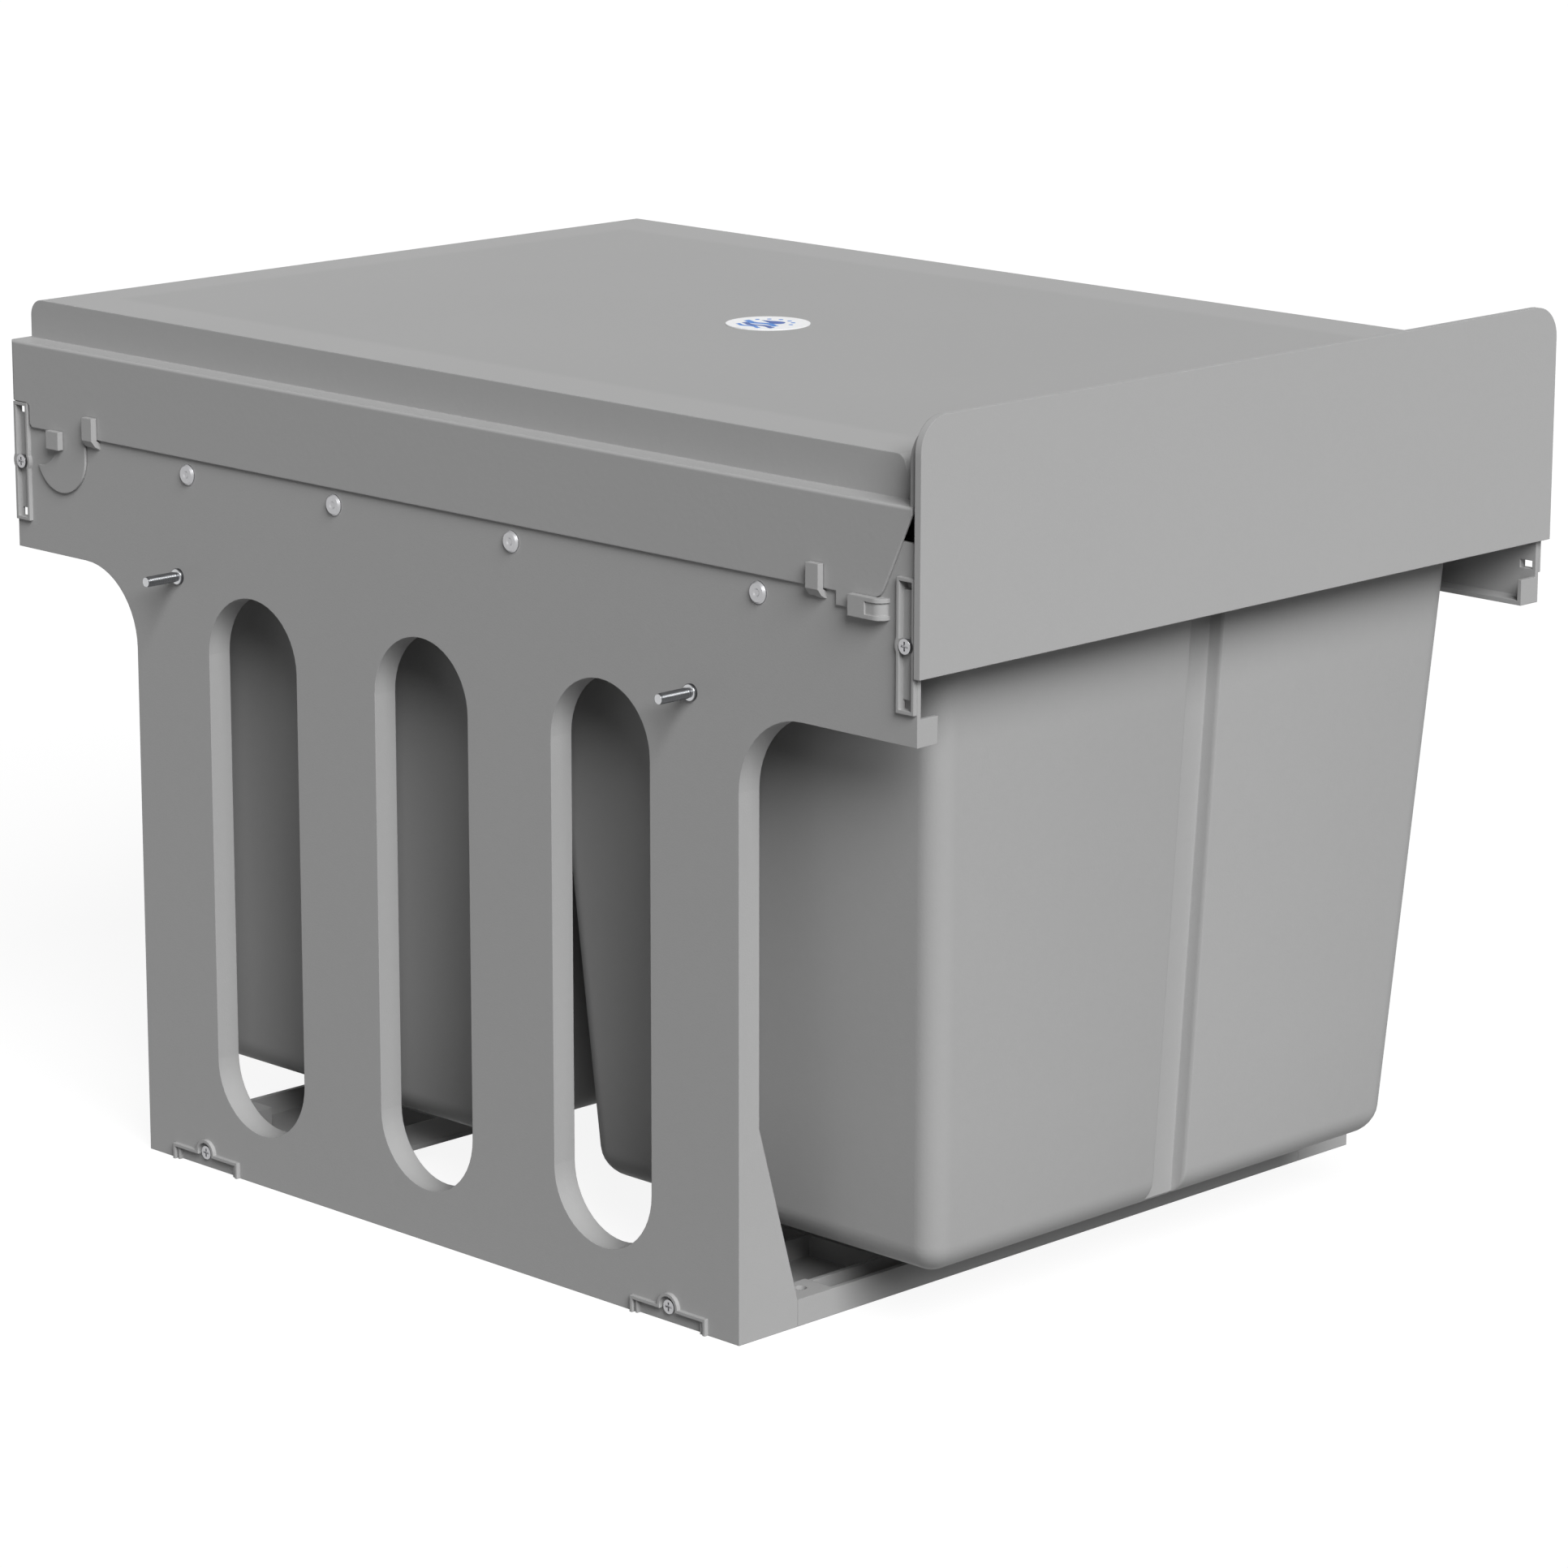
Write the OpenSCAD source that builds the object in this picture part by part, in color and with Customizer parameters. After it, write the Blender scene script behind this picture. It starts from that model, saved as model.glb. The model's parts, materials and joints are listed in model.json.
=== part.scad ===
// Pull out double waste bin unit for a kitchen base cabinet.
// X is the width, the front faces -Y, Z is up and the floor is at Z = 0.
// Places along the depth are given as distances behind the face of the front panel.

/* [Housing] */
// Width over the outer faces of the two side panels
housing_w = 335; // [300:1:380]
// Depth from the face of the front panel to the back of the lid
unit_d = 486.4; // [438:0.2:540]
// Height of the side panels
side_h = 299; // [270:1:330]
// Wall of the side panels
side_t = 1.7; // [1.4:0.1:2.4]
// Depth of the turned-in edges of the side panels
edge_d = 10; // [8:0.5:12]
// Height of the side panel's wide head
head_h = 69; // [66:0.5:80]
// Radius of the bends between the head and the foot
bend_r = 30; // [20:1:36]
// Front of the foot behind the front panel's face
foot_back = 87.2; // [80:0.2:95]
// Rear of the foot before the back of the lid
foot_rear_back = 72.4; // [60:0.2:90]
// Gap between the side panel and the front panel's back
stop_gap = 0.3; // [0.2:0.1:1]
// How far the side panels end before the back of the lid
rear_clear = 0.7; // [0.4:0.1:1.5]

/* [Slots] */
// Number of upright slots in each side panel
slot_count = 3; // [1:1:3]
// Width of a slot
slot_w = 50.6; // [40:0.2:60]
// Distance from one slot to the next
slot_pitch = 94.6; // [86:0.2:98]
// Bottom of the slots above the floor
slot_low = 20.1; // [16:0.1:60]
// Top of the slots below the head's underside
slot_top_gap = 0.6; // [0.4:0.1:40]
// How far the row of slots sits behind the foot's middle
slot_shift = 0.6; // [0:0.1:4]

/* [Gussets] */
// Height of the top of the gusset in the front turned edge
gusset_h = 77.4; // [60:0.2:100]
// Width of the turned edge at the gusset's foot
gusset_w = 29.3; // [20:0.1:34]

/* [Base tray] */
// Height of the tray
tray_h = 10; // [9:0.5:11]
// Wall of the tray
tray_t = 2; // [1.5:0.1:2.5]
// Depth of the tray's front trough
tray_front_l = 50.9; // [44:0.1:60]
// Depth of the narrow cell behind the front wall
tray_cell_l = 11.2; // [8:0.1:14]
// Depth of the tray's rear trough
tray_rear_l = 92; // [80:0.1:110]
// Depth of the flat top of the rear trough
tray_flat_l = 21.3; // [15:0.1:30]
// Width of the side troughs
tray_side_w = 28; // [24:0.5:32]
// Distance between the cross ribs in the troughs
tray_rib_pitch = 82; // [60:1:90]
// Width of a corner pad
pad_w = 16.9; // [14:0.1:20]
// Length of a corner pad
pad_l = 14.8; // [12:0.1:18]
// Diameter of the floor screws' holes
floor_hole_d = 4.5; // [4:0.1:5.5]
// Middle of the floor screws' holes from the tray's front and rear
floor_hole_back = 8.75; // [7.5:0.1:9.5]
// Middle of the floor screws' holes from the tray's nearer side
floor_hole_side = 37.7; // [34:0.1:40]

/* [Clips] */
// Length of a clip's rim along the foot
clip_l = 38.4; // [34:0.2:44]
// Height of the rim's straight part
clip_h = 6.2; // [5:0.1:8]
// Outer radius of the rim round the screw
clip_r = 5.2; // [4.8:0.1:6]
// How far rims stand out of the side panel
rim_out = 1.6; // [1:0.1:2]
// Width of a rim
rim_t = 1.2; // [1:0.1:1.6]
// Depth of the pockets inside the rims
pocket_d = 0.8; // [0.5:0.1:1]
// Middle of a clip from the foot's nearer edge
clip_inset = 34.9; // [30:0.1:40]

/* [Screws and rivets] */
// Diameter of the small screws' heads
screw_head_d = 5.3; // [4.8:0.1:5.8]
// Height of the small screws' heads
screw_head_h = 1.6; // [1.2:0.1:2]
// Diameter of the screws' shanks
screw_d = 3; // [2.5:0.1:3.4]
// Length of a screw's shank
screw_l = 6; // [5:0.5:8]
// Diameter of the rivets' heads
rivet_head_d = 8; // [7:0.1:9]
// Height of the rivets' heads
rivet_head_h = 1.3; // [1:0.1:1.6]
// Diameter of the rivets' shanks
rivet_d = 4; // [3:0.1:4.4]
// Play of a shank in its hole, all round
hole_play = 0.1; // [0.05:0.01:0.2]

/* [Spacer studs] */
// Diameter of the studs
stud_d = 4; // [3.5:0.1:5]
// How far the studs stand out of the side panel
stud_out = 16; // [12:0.5:18]
// Diameter of the studs' collars
collar_d = 6.2; // [5.6:0.1:8]
// Thickness of the collars
collar_t = 1.6; // [1:0.1:2.4]
// Height of the studs above the head's underside
stud_up = 2; // [0:0.5:8]
// Front stud behind the foot's front
stud_front_in = 23.2; // [18:0.2:30]
// Rear stud before the foot's rear
stud_rear_in = 25.8; // [18:0.2:30]

/* [Rails] */
// Rear end of the rails before the back of the lid
rail_rear_back = 29.7; // [26:0.1:50]
// Height of the outer rail
rail_h = 35; // [34:0.1:36]
// Depth of the closed pair of rails
rail_w = 12.7; // [12.5:0.1:13]
// Sheet of the rails
rail_t = 1.2; // [1:0.05:1.3]
// Reach of the outer rail's flanges from its back
outer_reach = 10.5; // [9.5:0.1:10.8]
// Reach of the middle rail's flanges from the outer rail's back
middle_reach = 11; // [10:0.1:11.2]
// Reach of the inner rail's flanges from its inner face
inner_reach = 8.2; // [7.5:0.1:8.5]
// Height of the lips at the ends of the outer rail's flanges
lip_h = 0.9; // [0.4:0.1:1.2]
// Rails' middle below the lower edge of the lid's skirt
rail_drop = 6.4; // [4.4:0.1:7.4]
// Front end of the rails behind the front panel's face
rail_back = 6.7; // [6:0.1:8]
// Thickness of the seat that the rail lies on
seat_t = 2.8; // [2:0.1:3.4]
// Diameter of the balls
ball_d = 3.2; // [3:0.1:3.3]
// Play between a ball and its races
ball_play = 0.05; // [0.03:0.01:0.1]
// Number of balls in a row
ball_count = 8; // [4:1:12]
// Length of a ball cage
cage_l = 200; // [160:1:210]
// Sheet of the cages
cage_t = 0.6; // [0.5:0.1:0.8]

/* [Channels] */
// Width of a bracket channel over its rim
channel_w = 8.2; // [8:0.1:9]
// Height of a bracket channel over its rim
channel_h = 46.2; // [40:0.2:48]
// Top of the bracket channels below the top of the side panels
channel_drop = 11.6; // [11:0.1:16]
// Radius of the rim's bulge round the screw
bulge_r = 4.8; // [4.6:0.1:5.2]
// Height of the square holes at the channel's ends
channel_hole_h = 3.2; // [2:0.1:5]
// How far the rear channel ends before the side panel's end
channel_inset = 0.8; // [0.4:0.1:1.5]

/* [Lid] */
// Sheet of the lid
lid_t = 1; // [0.8:0.1:1.2]
// Gap between the lid's skirt and the side panels
lid_gap = 0.3; // [0.2:0.05:0.4]
// Height of the raised middle above the trough in front of it
dome_h = 15; // [12:0.1:22]
// Width of the ledges beside the raised middle
ledge_w = 9.5; // [7:0.1:16]
// Height of the trough's floor above the side panels
trough_up = 12.3; // [10:0.1:18]
// Height of the side skirts' top below the trough's floor
ledge_fall = 1.1; // [0.8:0.1:2]
// Outer radius of the bend between a ledge and its skirt
ledge_r = 1; // [0.6:0.1:1.2]
// Radius of the lid's rear corners in plan
lid_corner_r = 2; // [1:0.1:2.2]
// Width of the ledge behind the raised middle
rear_ledge = 1.7; // [1.2:0.1:4]
// Radius of the raised middle's rear edge
rear_r = 6.5; // [4:0.1:9]
// Radius of the raised middle's front edge
front_r = 4; // [3:0.5:8]
// Slope of the raised middle's front from the level
front_slope = 68; // [55:1:75]
// Start of the raised middle's flat top behind the front panel's face
dome_back = 21; // [20:0.5:40]
// Radius of the raised middle's front corners in plan
dome_corner_r = 4; // [3:0.5:10]
// How far the skirts reach below the top of the side panels
skirt_lap = 20.6; // [20:0.1:23]
// Lower edge of the rear apron above the side panels
apron_up = 2.8; // [2.4:0.1:5]
// Front face of the lid's upright front plate behind the front panel's face
upstand_back = 5.1; // [4:0.1:6]
// Thickness of the folded front plate
upstand_t = 1.9; // [1.6:0.1:2.2]
// Height of the front plate above the raised middle
upstand_h = 11.7; // [8:0.1:14]
// Slope of the skirt's front edge from the upright
skirt_slope = 25.8; // [20:0.2:28]
// Foot of the skirt's front edge behind the front panel's face
skirt_foot_back = 19.7; // [18:0.1:22]
// Radius of the skirt's front lower corner
skirt_r = 6; // [3:0.5:8]
// Radius of the skirt's corners at the step over the rear channel
step_r = 2.2; // [1:0.1:2.4]
// Diameter of the round label
label_d = 32; // [24:1:40]
// Thickness of the round label
label_t = 0.3; // [0.2:0.1:0.5]
// How far the label sits in front of the unit's middle
label_fwd = 2.5; // [0:0.1:40]

/* [Lid catches] */
// Length of the tab at the skirt's front
tab_l = 15.1; // [12:0.1:18]
// Height of the tab below the skirt
tab_h = 4.9; // [3:0.1:6]
// Rear edge of the tab behind the front panel's face
tab_back = 39.8; // [38:0.1:42]
// Radius of the tongue's outer edge
tongue_r = 15; // [14.2:0.1:16]
// Middle of the tongue's outer edge before the back of the lid
tongue_in = 29.7; // [29:0.1:30.4]
// Middle of the tongue's outer edge below the skirt's lower edge
tongue_drop = 8.5; // [7:0.1:10]
// Radius of the tongue's throat
throat_r = 10.6; // [10:0.1:11]
// Middle of the throat before the back of the lid
throat_in = 16.7; // [15.9:0.1:17.4]
// Middle of the throat below the skirt's lower edge
throat_drop = 3.4; // [3:0.1:4]
// Height of the throat's mouth above the tongue's lowest point
tip_h = 9.9; // [8:0.1:11]
// Length of the lug's head along the depth
lug_l = 7.4; // [6:0.1:9]
// Height of the lug's head
lug_h = 7; // [6:0.1:8]
// Front of the lug before the back of the lid
lug_in = 31.9; // [31.4:0.1:32.9]
// Width of the lug's neck along the depth
neck_l = 2; // [1.6:0.1:2.1]
// Thickness of hooks, lugs and latches outside the skirt
catch_t = 2.6; // [2:0.1:3]
// Width of a hook
hook_w = 6; // [5:0.1:7]
// Height of a hook above the skirt's lower edge
hook_h = 8.5; // [6:0.1:10]
// Front edge of the rear hook before the back of the lid
rear_hook_in = 52.7; // [52.4:0.1:56]
// Front edge of the front hook behind the front panel's face
front_hook_back = 45.4; // [44:0.1:60]
// Length of the latch
latch_l = 15.7; // [13:0.1:18]
// Height of the latch
latch_h = 7.4; // [6:0.1:9]
// Front end of the latch behind the front panel's face
latch_back = 16; // [14.5:0.1:17]
// Thickness of the latch's upper and lower rims
latch_rim = 1.5; // [1.2:0.1:2.2]
// Depth of the hollow between the latch's rims
latch_hollow = 0.6; // [0.4:0.1:1.6]

/* [Front panel] */
// How far the front panel passes the lid's skirts at each side
front_lap = 1; // [0.5:0.1:5]
// Thickness of the front panel
front_t = 2.8; // [2.4:0.1:3.2]
// How far the front panel reaches below the top of the side panels
front_drop = 45; // [40:0.5:50]
// Height of the front panel above the lid's front plate
front_up = 3.8; // [2:0.1:8]
// Radius of the front panel's top corners
front_corner_r = 12; // [6:0.5:16]

/* [Bins] */
// Gap between the base tray and the bins' floor
bin_clear = 16; // [12:0.2:30]
// Gap between a bin's wall at its rim and the outer face of its frame
bin_side_gap = 7.8; // [7.5:0.1:14]
// How far a bin's wide side draws in from its rim to its floor
bin_taper_w = 17.8; // [10:0.1:24]
// How far a bin's front and rear draw in from its rim to its floor
bin_taper_l = 17.6; // [10:0.1:24]
// Front bin's wall at its rim behind the front panel's face
bin_front_back = 16.8; // [15:0.1:24]
// Gap between the walls of the two bins at their rims
bin_between = 21.2; // [20:0.1:30]
// Rear bin's wall at its rim before the back of the lid
bin_rear_back = 32.4; // [30:0.1:40]
// Wall of a bin
bin_t = 2; // [1.6:0.1:2.6]
// Radius of a bin's corners
bin_r = 9.5; // [7:0.5:14]
// Width of the rolled rim outside the bin
bin_rim_w = 6; // [4:0.1:6.4]
// Height of the rolled rim
bin_rim_h = 7; // [5:0.1:9]
// Width of the groove in a bin's front
groove_w = 17.2; // [12:0.1:24]
// Depth of the groove in a bin's front
groove_d = 6; // [3:0.1:7]
// Distance of the groove's upper end below the bin's rim
groove_top_gap = 14; // [10:0.5:24]

/* [Bin frame] */
// Sheet of the bin frame
frame_t = 1.5; // [1.2:0.1:2]
// Height of the frame above the rails' middle
frame_up = 24; // [22:0.1:25]
// Depth of the frame's upright sides
frame_h = 34; // [30:0.5:40]
// Depth of the middle bar's turned edges
bar_h = 12; // [8:0.5:14]
// Gap between a bin and the frame round it
bin_gap = 1; // [0.5:0.1:2]
// Diameter of the front panel screws' heads
panel_screw_head_d = 7; // [6:0.1:8]
// Middle of the outer front panel screws from the frame's sides
panel_screw_side = 15.3; // [12:0.1:30]
// Height of the front panel screws above the frame's lower edge
panel_screw_up = 17; // [12:0.5:20]

/* [Hidden] */

grey = [0.53, 0.53, 0.53];
bin_grey = [0.6, 0.6, 0.6];
steel = [0.78, 0.78, 0.8];
zinc = [0.7, 0.71, 0.72];
white = [0.96, 0.96, 0.97];

$fn = 64;
// Cuts run past the faces by this much
over = 1;
// Points on the balls and on the hulls of the bins
hull_fn = 32;

// Places along the depth
function back(d) = d - unit_d / 2;
function before_rear(d) = unit_d / 2 - d;
outer_x = housing_w / 2;
inner_x = outer_x - side_t;
head_low = side_h - head_h;
head_front = back(front_t + stop_gap);
head_rear = back(unit_d) - rear_clear;
foot_front = back(foot_back);
foot_rear = before_rear(foot_rear_back);
clip_places = [foot_front + clip_inset, foot_rear - clip_inset];
stud_places = [foot_front + stud_front_in, foot_rear - stud_rear_in];
stud_z = head_low + stud_up;
slot_top = head_low - slot_top_gap;
slot_middle = (foot_front + foot_rear) / 2 + slot_shift;

// Rails, measured inward from the back of the outer rail and up from the rails' middle
rail_x = inner_x - seat_t;
rail_z = side_h - skirt_lap - rail_drop;
rail_front = back(rail_back);
rail_l = before_rear(rail_rear_back) - rail_front;
rail_mid = rail_front + rail_l / 2;
ball_gap = ball_d + 2 * ball_play;
middle_half = rail_h / 2 - rail_t - ball_gap;
inner_half = middle_half - rail_t - ball_gap;
// The middle rail's web clears the rivets' tails
tail_h = 0.8;
tail_clear = 0.2;
middle_web = rail_t + tail_h + tail_clear;
// The rows of balls lie near the middle of the flanges that they run in
outer_ball = (middle_web + outer_reach) / 2;
inner_ball = rail_w - inner_reach / 2 - rail_t / 2;
cage_w = ball_d * 1.25;
// Shares of the rail's length at which the rivets sit
rivet_share = [0.1576, 0.4327, 0.6456, 0.8322];
frame_rivet_share = [0.12, 0.5, 0.88];

// Lid
skirt_in = outer_x + lid_gap;
lid_x = skirt_in + lid_t;
lid_rear = before_rear(0);
dome_half_w = lid_x - ledge_w;
trough_z = side_h + trough_up;
lid_z = trough_z + dome_h;
skirt_low = side_h - skirt_lap;
apron_low = side_h + apron_up;
upstand_z = lid_z + upstand_h;
ledge_z = trough_z - ledge_fall;
dome_rear = lid_rear - rear_ledge;
upstand_front = back(upstand_back);
dome_front = back(dome_back);
// The front slope of the raised middle ends here, behind the upright front plate
slope_foot = dome_front - front_r * sin(front_slope)
    - (dome_h - front_r * (1 - cos(front_slope))) / tan(front_slope);
dome_foot = max(slope_foot, upstand_front + upstand_t + lid_t);
catch_in = lid_x + lid_gap;
catch_out = catch_in + catch_t;
// Gap between the lid's edges and the rims that they rest over
rest_gap = 0.3;

// Bins and their frame
frame_x = rail_x - rail_w;
frame_z = rail_z + frame_up;
bin_z = tray_h + bin_clear;
bin_h = frame_z + bin_rim_h - bin_z;
bin_top_w = 2 * (frame_x - bin_side_gap);
bin_low_w = bin_top_w - 2 * bin_taper_w;
bin_top_l = (unit_d - bin_front_back - bin_between - bin_rear_back) / 2;
bin_low_l = bin_top_l - 2 * bin_taper_l;
seat_share = (bin_h - bin_rim_h) / bin_h;
seat_half_w = (bin_low_w + (bin_top_w - bin_low_w) * seat_share) / 2;
seat_half_l = (bin_low_l + (bin_top_l - bin_low_l) * seat_share) / 2;
front_bin_y = back(bin_front_back) + bin_top_l / 2;
rear_bin_y = before_rear(bin_rear_back) - bin_top_l / 2;
// The frame's opening leaves the same gap on both sides, widened to the rim's width
bar_lap = bin_rim_w + 3.2 * bin_gap;
frame_front = back(front_t);
frame_rear = rear_bin_y + seat_half_l + 2 * bin_gap + bar_lap;
frame_low = frame_z - frame_h;

// Outlines drawn in (Y, Z), (X, Z) and (X, Y) and run between two planes
module span_x(x0, x1) {
    translate([x0, 0, 0]) rotate([90, 0, 90]) linear_extrude(x1 - x0) children();
}
module span_y(y0, y1) {
    translate([0, y1, 0]) rotate([90, 0, 0]) linear_extrude(y1 - y0) children();
}
module span_z(z0, z1) {
    translate([0, 0, z0]) linear_extrude(z1 - z0) children();
}
module box(x0, x1, y0, y1, z0, z1) {
    translate([x0, y0, z0]) cube([x1 - x0, y1 - y0, z1 - z0]);
}
module rect(a0, a1, b0, b1) {
    translate([a0, b0]) square([a1 - a0, b1 - b0]);
}
// A rod along X from x0 to x1
module rod_x(x0, x1, y, z, d) {
    translate([x0, y, z]) rotate([0, 90, 0]) cylinder(h = x1 - x0, d = d);
}
module both_sides() {
    children();
    mirror([1, 0, 0]) children();
}
module round_rect(w, l, r) {
    rect(-w / 2, w / 2, r - l / 2, l / 2 - r);
    rect(r - w / 2, w / 2 - r, -l / 2, l / 2);
    for (a = [-1, 1])
        for (b = [-1, 1])
            translate([a * (w / 2 - r), b * (l / 2 - r)]) circle(r);
}
// A screw with a cross recess. Its head is at the origin and its shank runs along -X.
module screw(head_d, head_h, shank_d, shank_l) {
    slot_t = head_d / 7;
    difference() {
        rotate([0, 90, 0]) cylinder(h = head_h, d = head_d);
        for (turn = [0, 90])
            rotate([turn, 0, 0])
                box(head_h / 2, head_h + over, -head_d / 3.2, head_d / 3.2, -slot_t / 2, slot_t / 2);
    }
    rod_x(-shank_l, 0, 0, 0, shank_d);
}

// Side panels
module panel_outline(inset) {
    difference() {
        union() {
            rect(foot_front + inset, foot_rear - inset, inset, side_h - inset);
            rect(head_front + inset, head_rear - inset, head_low + inset, side_h - inset);
            rect(foot_front - bend_r, foot_rear + bend_r, head_low - bend_r, head_low + 2 * inset);
        }
        for (end = [foot_front - bend_r, foot_rear + bend_r])
            translate([end, head_low - bend_r]) circle(bend_r + inset);
        rect(head_front - over, foot_front - bend_r, -over, head_low + inset);
        rect(foot_rear + bend_r, head_rear + over, -over, head_low + inset);
    }
}
module slot_outline(grow) {
    r = slot_w / 2;
    rect(-r - grow, r + grow, slot_low + r, slot_top - r);
    for (z = [slot_low + r, slot_top - r])
        translate([0, z]) circle(r + grow);
}
module at_slots() {
    for (i = [0 : slot_count - 1])
        translate([slot_middle + (i - (slot_count - 1) / 2) * slot_pitch, 0]) children();
}
// The turned edges follow the outline, except along the floor and above the front hook
hook_up = 9.7;
module turned_edges() {
    difference() {
        panel_outline(0);
        panel_outline(side_t);
        rect(foot_front + side_t, foot_rear - side_t, -over, tray_h);
        rect(head_front - over, head_front + side_t + over, head_low + hook_up, side_h + over);
        rect(head_front - over, head_rear + over, side_h - side_t - over, side_h + over);
        rect(head_rear - side_t - over, head_rear + over, head_low + hook_up, side_h + over);
    }
}
module clip_outline(inset) {
    rect(inset - clip_l / 2, clip_l / 2 - inset, -over, clip_h - inset);
    translate([0, clip_h]) circle(clip_r - inset);
}
module at_clips() {
    for (y = clip_places)
        translate([y, 0]) children();
}
channel_top = side_h - channel_drop;
channel_z = channel_top - channel_h / 2;
module channel_outline(inset) {
    rect(inset - channel_w / 2, channel_w / 2 - inset, inset - channel_h / 2, channel_h / 2 - inset);
    circle(bulge_r - inset);
}
front_channel_y = head_front + channel_w / 2 + stop_gap;
rear_channel_y = head_rear - channel_inset - channel_w / 2;
module at_channels() {
    for (y = [front_channel_y, rear_channel_y])
        translate([y, channel_z]) children();
}
// Hooks, lug and latch are rooted in the panel's wall. A hook rises outside the lid's skirt
// from a root below it, narrower than its arm, so the tongue clears it when the lid opens.
hook_root_share = 0.6;
module hook(y) {
    root_z = skirt_low - rest_gap;
    root_y = y + hook_root_share * hook_w;
    difference() {
        span_y(y, y + hook_w)
            polygon([
                [outer_x, root_z - 1.4 * catch_t], [inner_x, root_z - 1.4 * catch_t],
                [inner_x, root_z - 0.4 * catch_t], [outer_x, root_z - 0.4 * catch_t],
                [catch_in, root_z], [catch_in, skirt_low + hook_h],
                [catch_out, skirt_low + hook_h], [catch_out, root_z],
                [catch_in + 0.3 * catch_t, root_z - 0.9 * catch_t]
            ]);
        box(inner_x - over, catch_in, root_y, y + hook_w + over, root_z - 2 * catch_t, root_z + over);
    }
}
// The lug that the tongue's throat closes round
module lug() {
    y = before_rear(lug_in);
    z0 = skirt_low + rest_gap * 2 - lug_h;
    neck_top = skirt_low - rest_gap;
    box(inner_x, catch_in, y + lug_l - neck_l, y + lug_l, neck_top - lug_h / 2, neck_top);
    box(catch_in, catch_out, y, y + lug_l, z0, z0 + lug_h);
}
// The latch's arm lies outside the skirt's tab and is rooted in front of it
module latch_plan(inset) {
    proud = catch_out - outer_x - inset;
    bend_y = back(latch_back) + catch_out - outer_x;
    rect(catch_in, outer_x + proud, bend_y, back(latch_back) + latch_l);
    intersection() {
        translate([outer_x, bend_y]) circle(proud);
        rect(inner_x, outer_x + proud, bend_y - proud, bend_y);
    }
}
module latch() {
    z0 = skirt_low + rest_gap * 2 - latch_h;
    hollow_end = back(latch_back) + latch_l / 2;
    difference() {
        span_z(z0, z0 + latch_h) latch_plan(0);
        span_z(z0 + latch_rim, z0 + latch_h - latch_rim)
            difference() {
                rect(outer_x, catch_out + over, back(latch_back) - over, hollow_end);
                latch_plan(latch_hollow);
            }
    }
}
module side_panel() {
    difference() {
        union() {
            span_x(inner_x, outer_x) panel_outline(0);
            span_x(outer_x - edge_d, outer_x) turned_edges();
            span_x(outer_x - edge_d, outer_x)
                intersection() {
                    at_slots() slot_outline(side_t);
                    panel_outline(0);
                }
            span_y(foot_front, foot_front + side_t)
                polygon([
                    [outer_x, 0], [outer_x, gusset_h], [outer_x - edge_d, gusset_h],
                    [outer_x - gusset_w, tray_h], [outer_x - gusset_w, 0]
                ]);
            box(rail_x, outer_x, rail_front, rail_front + rail_l, rail_z - rail_h / 2 - seat_t,
                rail_z + rail_h / 2 + seat_t);
            span_x(inner_x, outer_x + rim_out) {
                intersection() {
                    at_clips() clip_outline(0);
                    rect(foot_front, foot_rear, 0, head_low);
                }
                intersection() {
                    at_channels() channel_outline(0);
                    rect(head_front, head_rear, head_low, side_h);
                }
            }
            hook(back(front_hook_back));
            hook(before_rear(rear_hook_in));
            lug();
            latch();
        }
        span_x(outer_x - edge_d - over, outer_x + over) at_slots() slot_outline(0);
        span_x(outer_x - pocket_d, outer_x + rim_out + over) {
            at_clips() clip_outline(rim_t);
            at_channels() channel_outline(rim_t);
        }
        span_x(inner_x - over, outer_x + over)
            at_channels()
                for (end = [-1, 1])
                    translate([0, end * (channel_h - channel_hole_h - 2 * rim_t) / 2])
                        square([channel_w - 2 * rim_t, channel_hole_h], center = true);
        for (share = rivet_share)
            rod_x(rail_x - over, outer_x + over, rail_front + share * rail_l, rail_z, rivet_d + 2 * hole_play);
        for (y = stud_places)
            rod_x(inner_x - over, outer_x + over, y, stud_z, stud_d + 2 * hole_play);
        for (y = [front_channel_y, rear_channel_y])
            rod_x(inner_x - over, outer_x, y, channel_z, screw_d + 2 * hole_play);
        for (y = clip_places)
            rod_x(inner_x - over, outer_x, y, clip_h, screw_d + 2 * hole_play);
    }
    clip_ribs();
    channel_bosses();
}
// The channels' screws stand on bosses, so their heads come level with the rims
boss_top = outer_x + rim_out - 0.8 * screw_head_h;
module channel_bosses() {
    for (y = [front_channel_y, rear_channel_y])
        difference() {
            rod_x(inner_x, boss_top, y, channel_z, screw_head_d);
            rod_x(inner_x - over, boss_top + over, y, channel_z, screw_d + 2 * hole_play);
        }
}
// Two short upright ribs stand in each clip's pocket near its ends
module clip_ribs() {
    rib = rim_t * 0.8;
    span_x(inner_x, outer_x + rim_out / 2)
        at_clips()
            for (side = [-1, 1])
                translate([side * (clip_l / 2 - 2.2 * rim_t), (clip_h - rim_t) / 2])
                    square([rib, clip_h - rim_t], center = true);
}
module side_panel_right() { color(grey) side_panel(); }
module side_panel_left() { color(grey) mirror([1, 0, 0]) side_panel(); }

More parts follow.
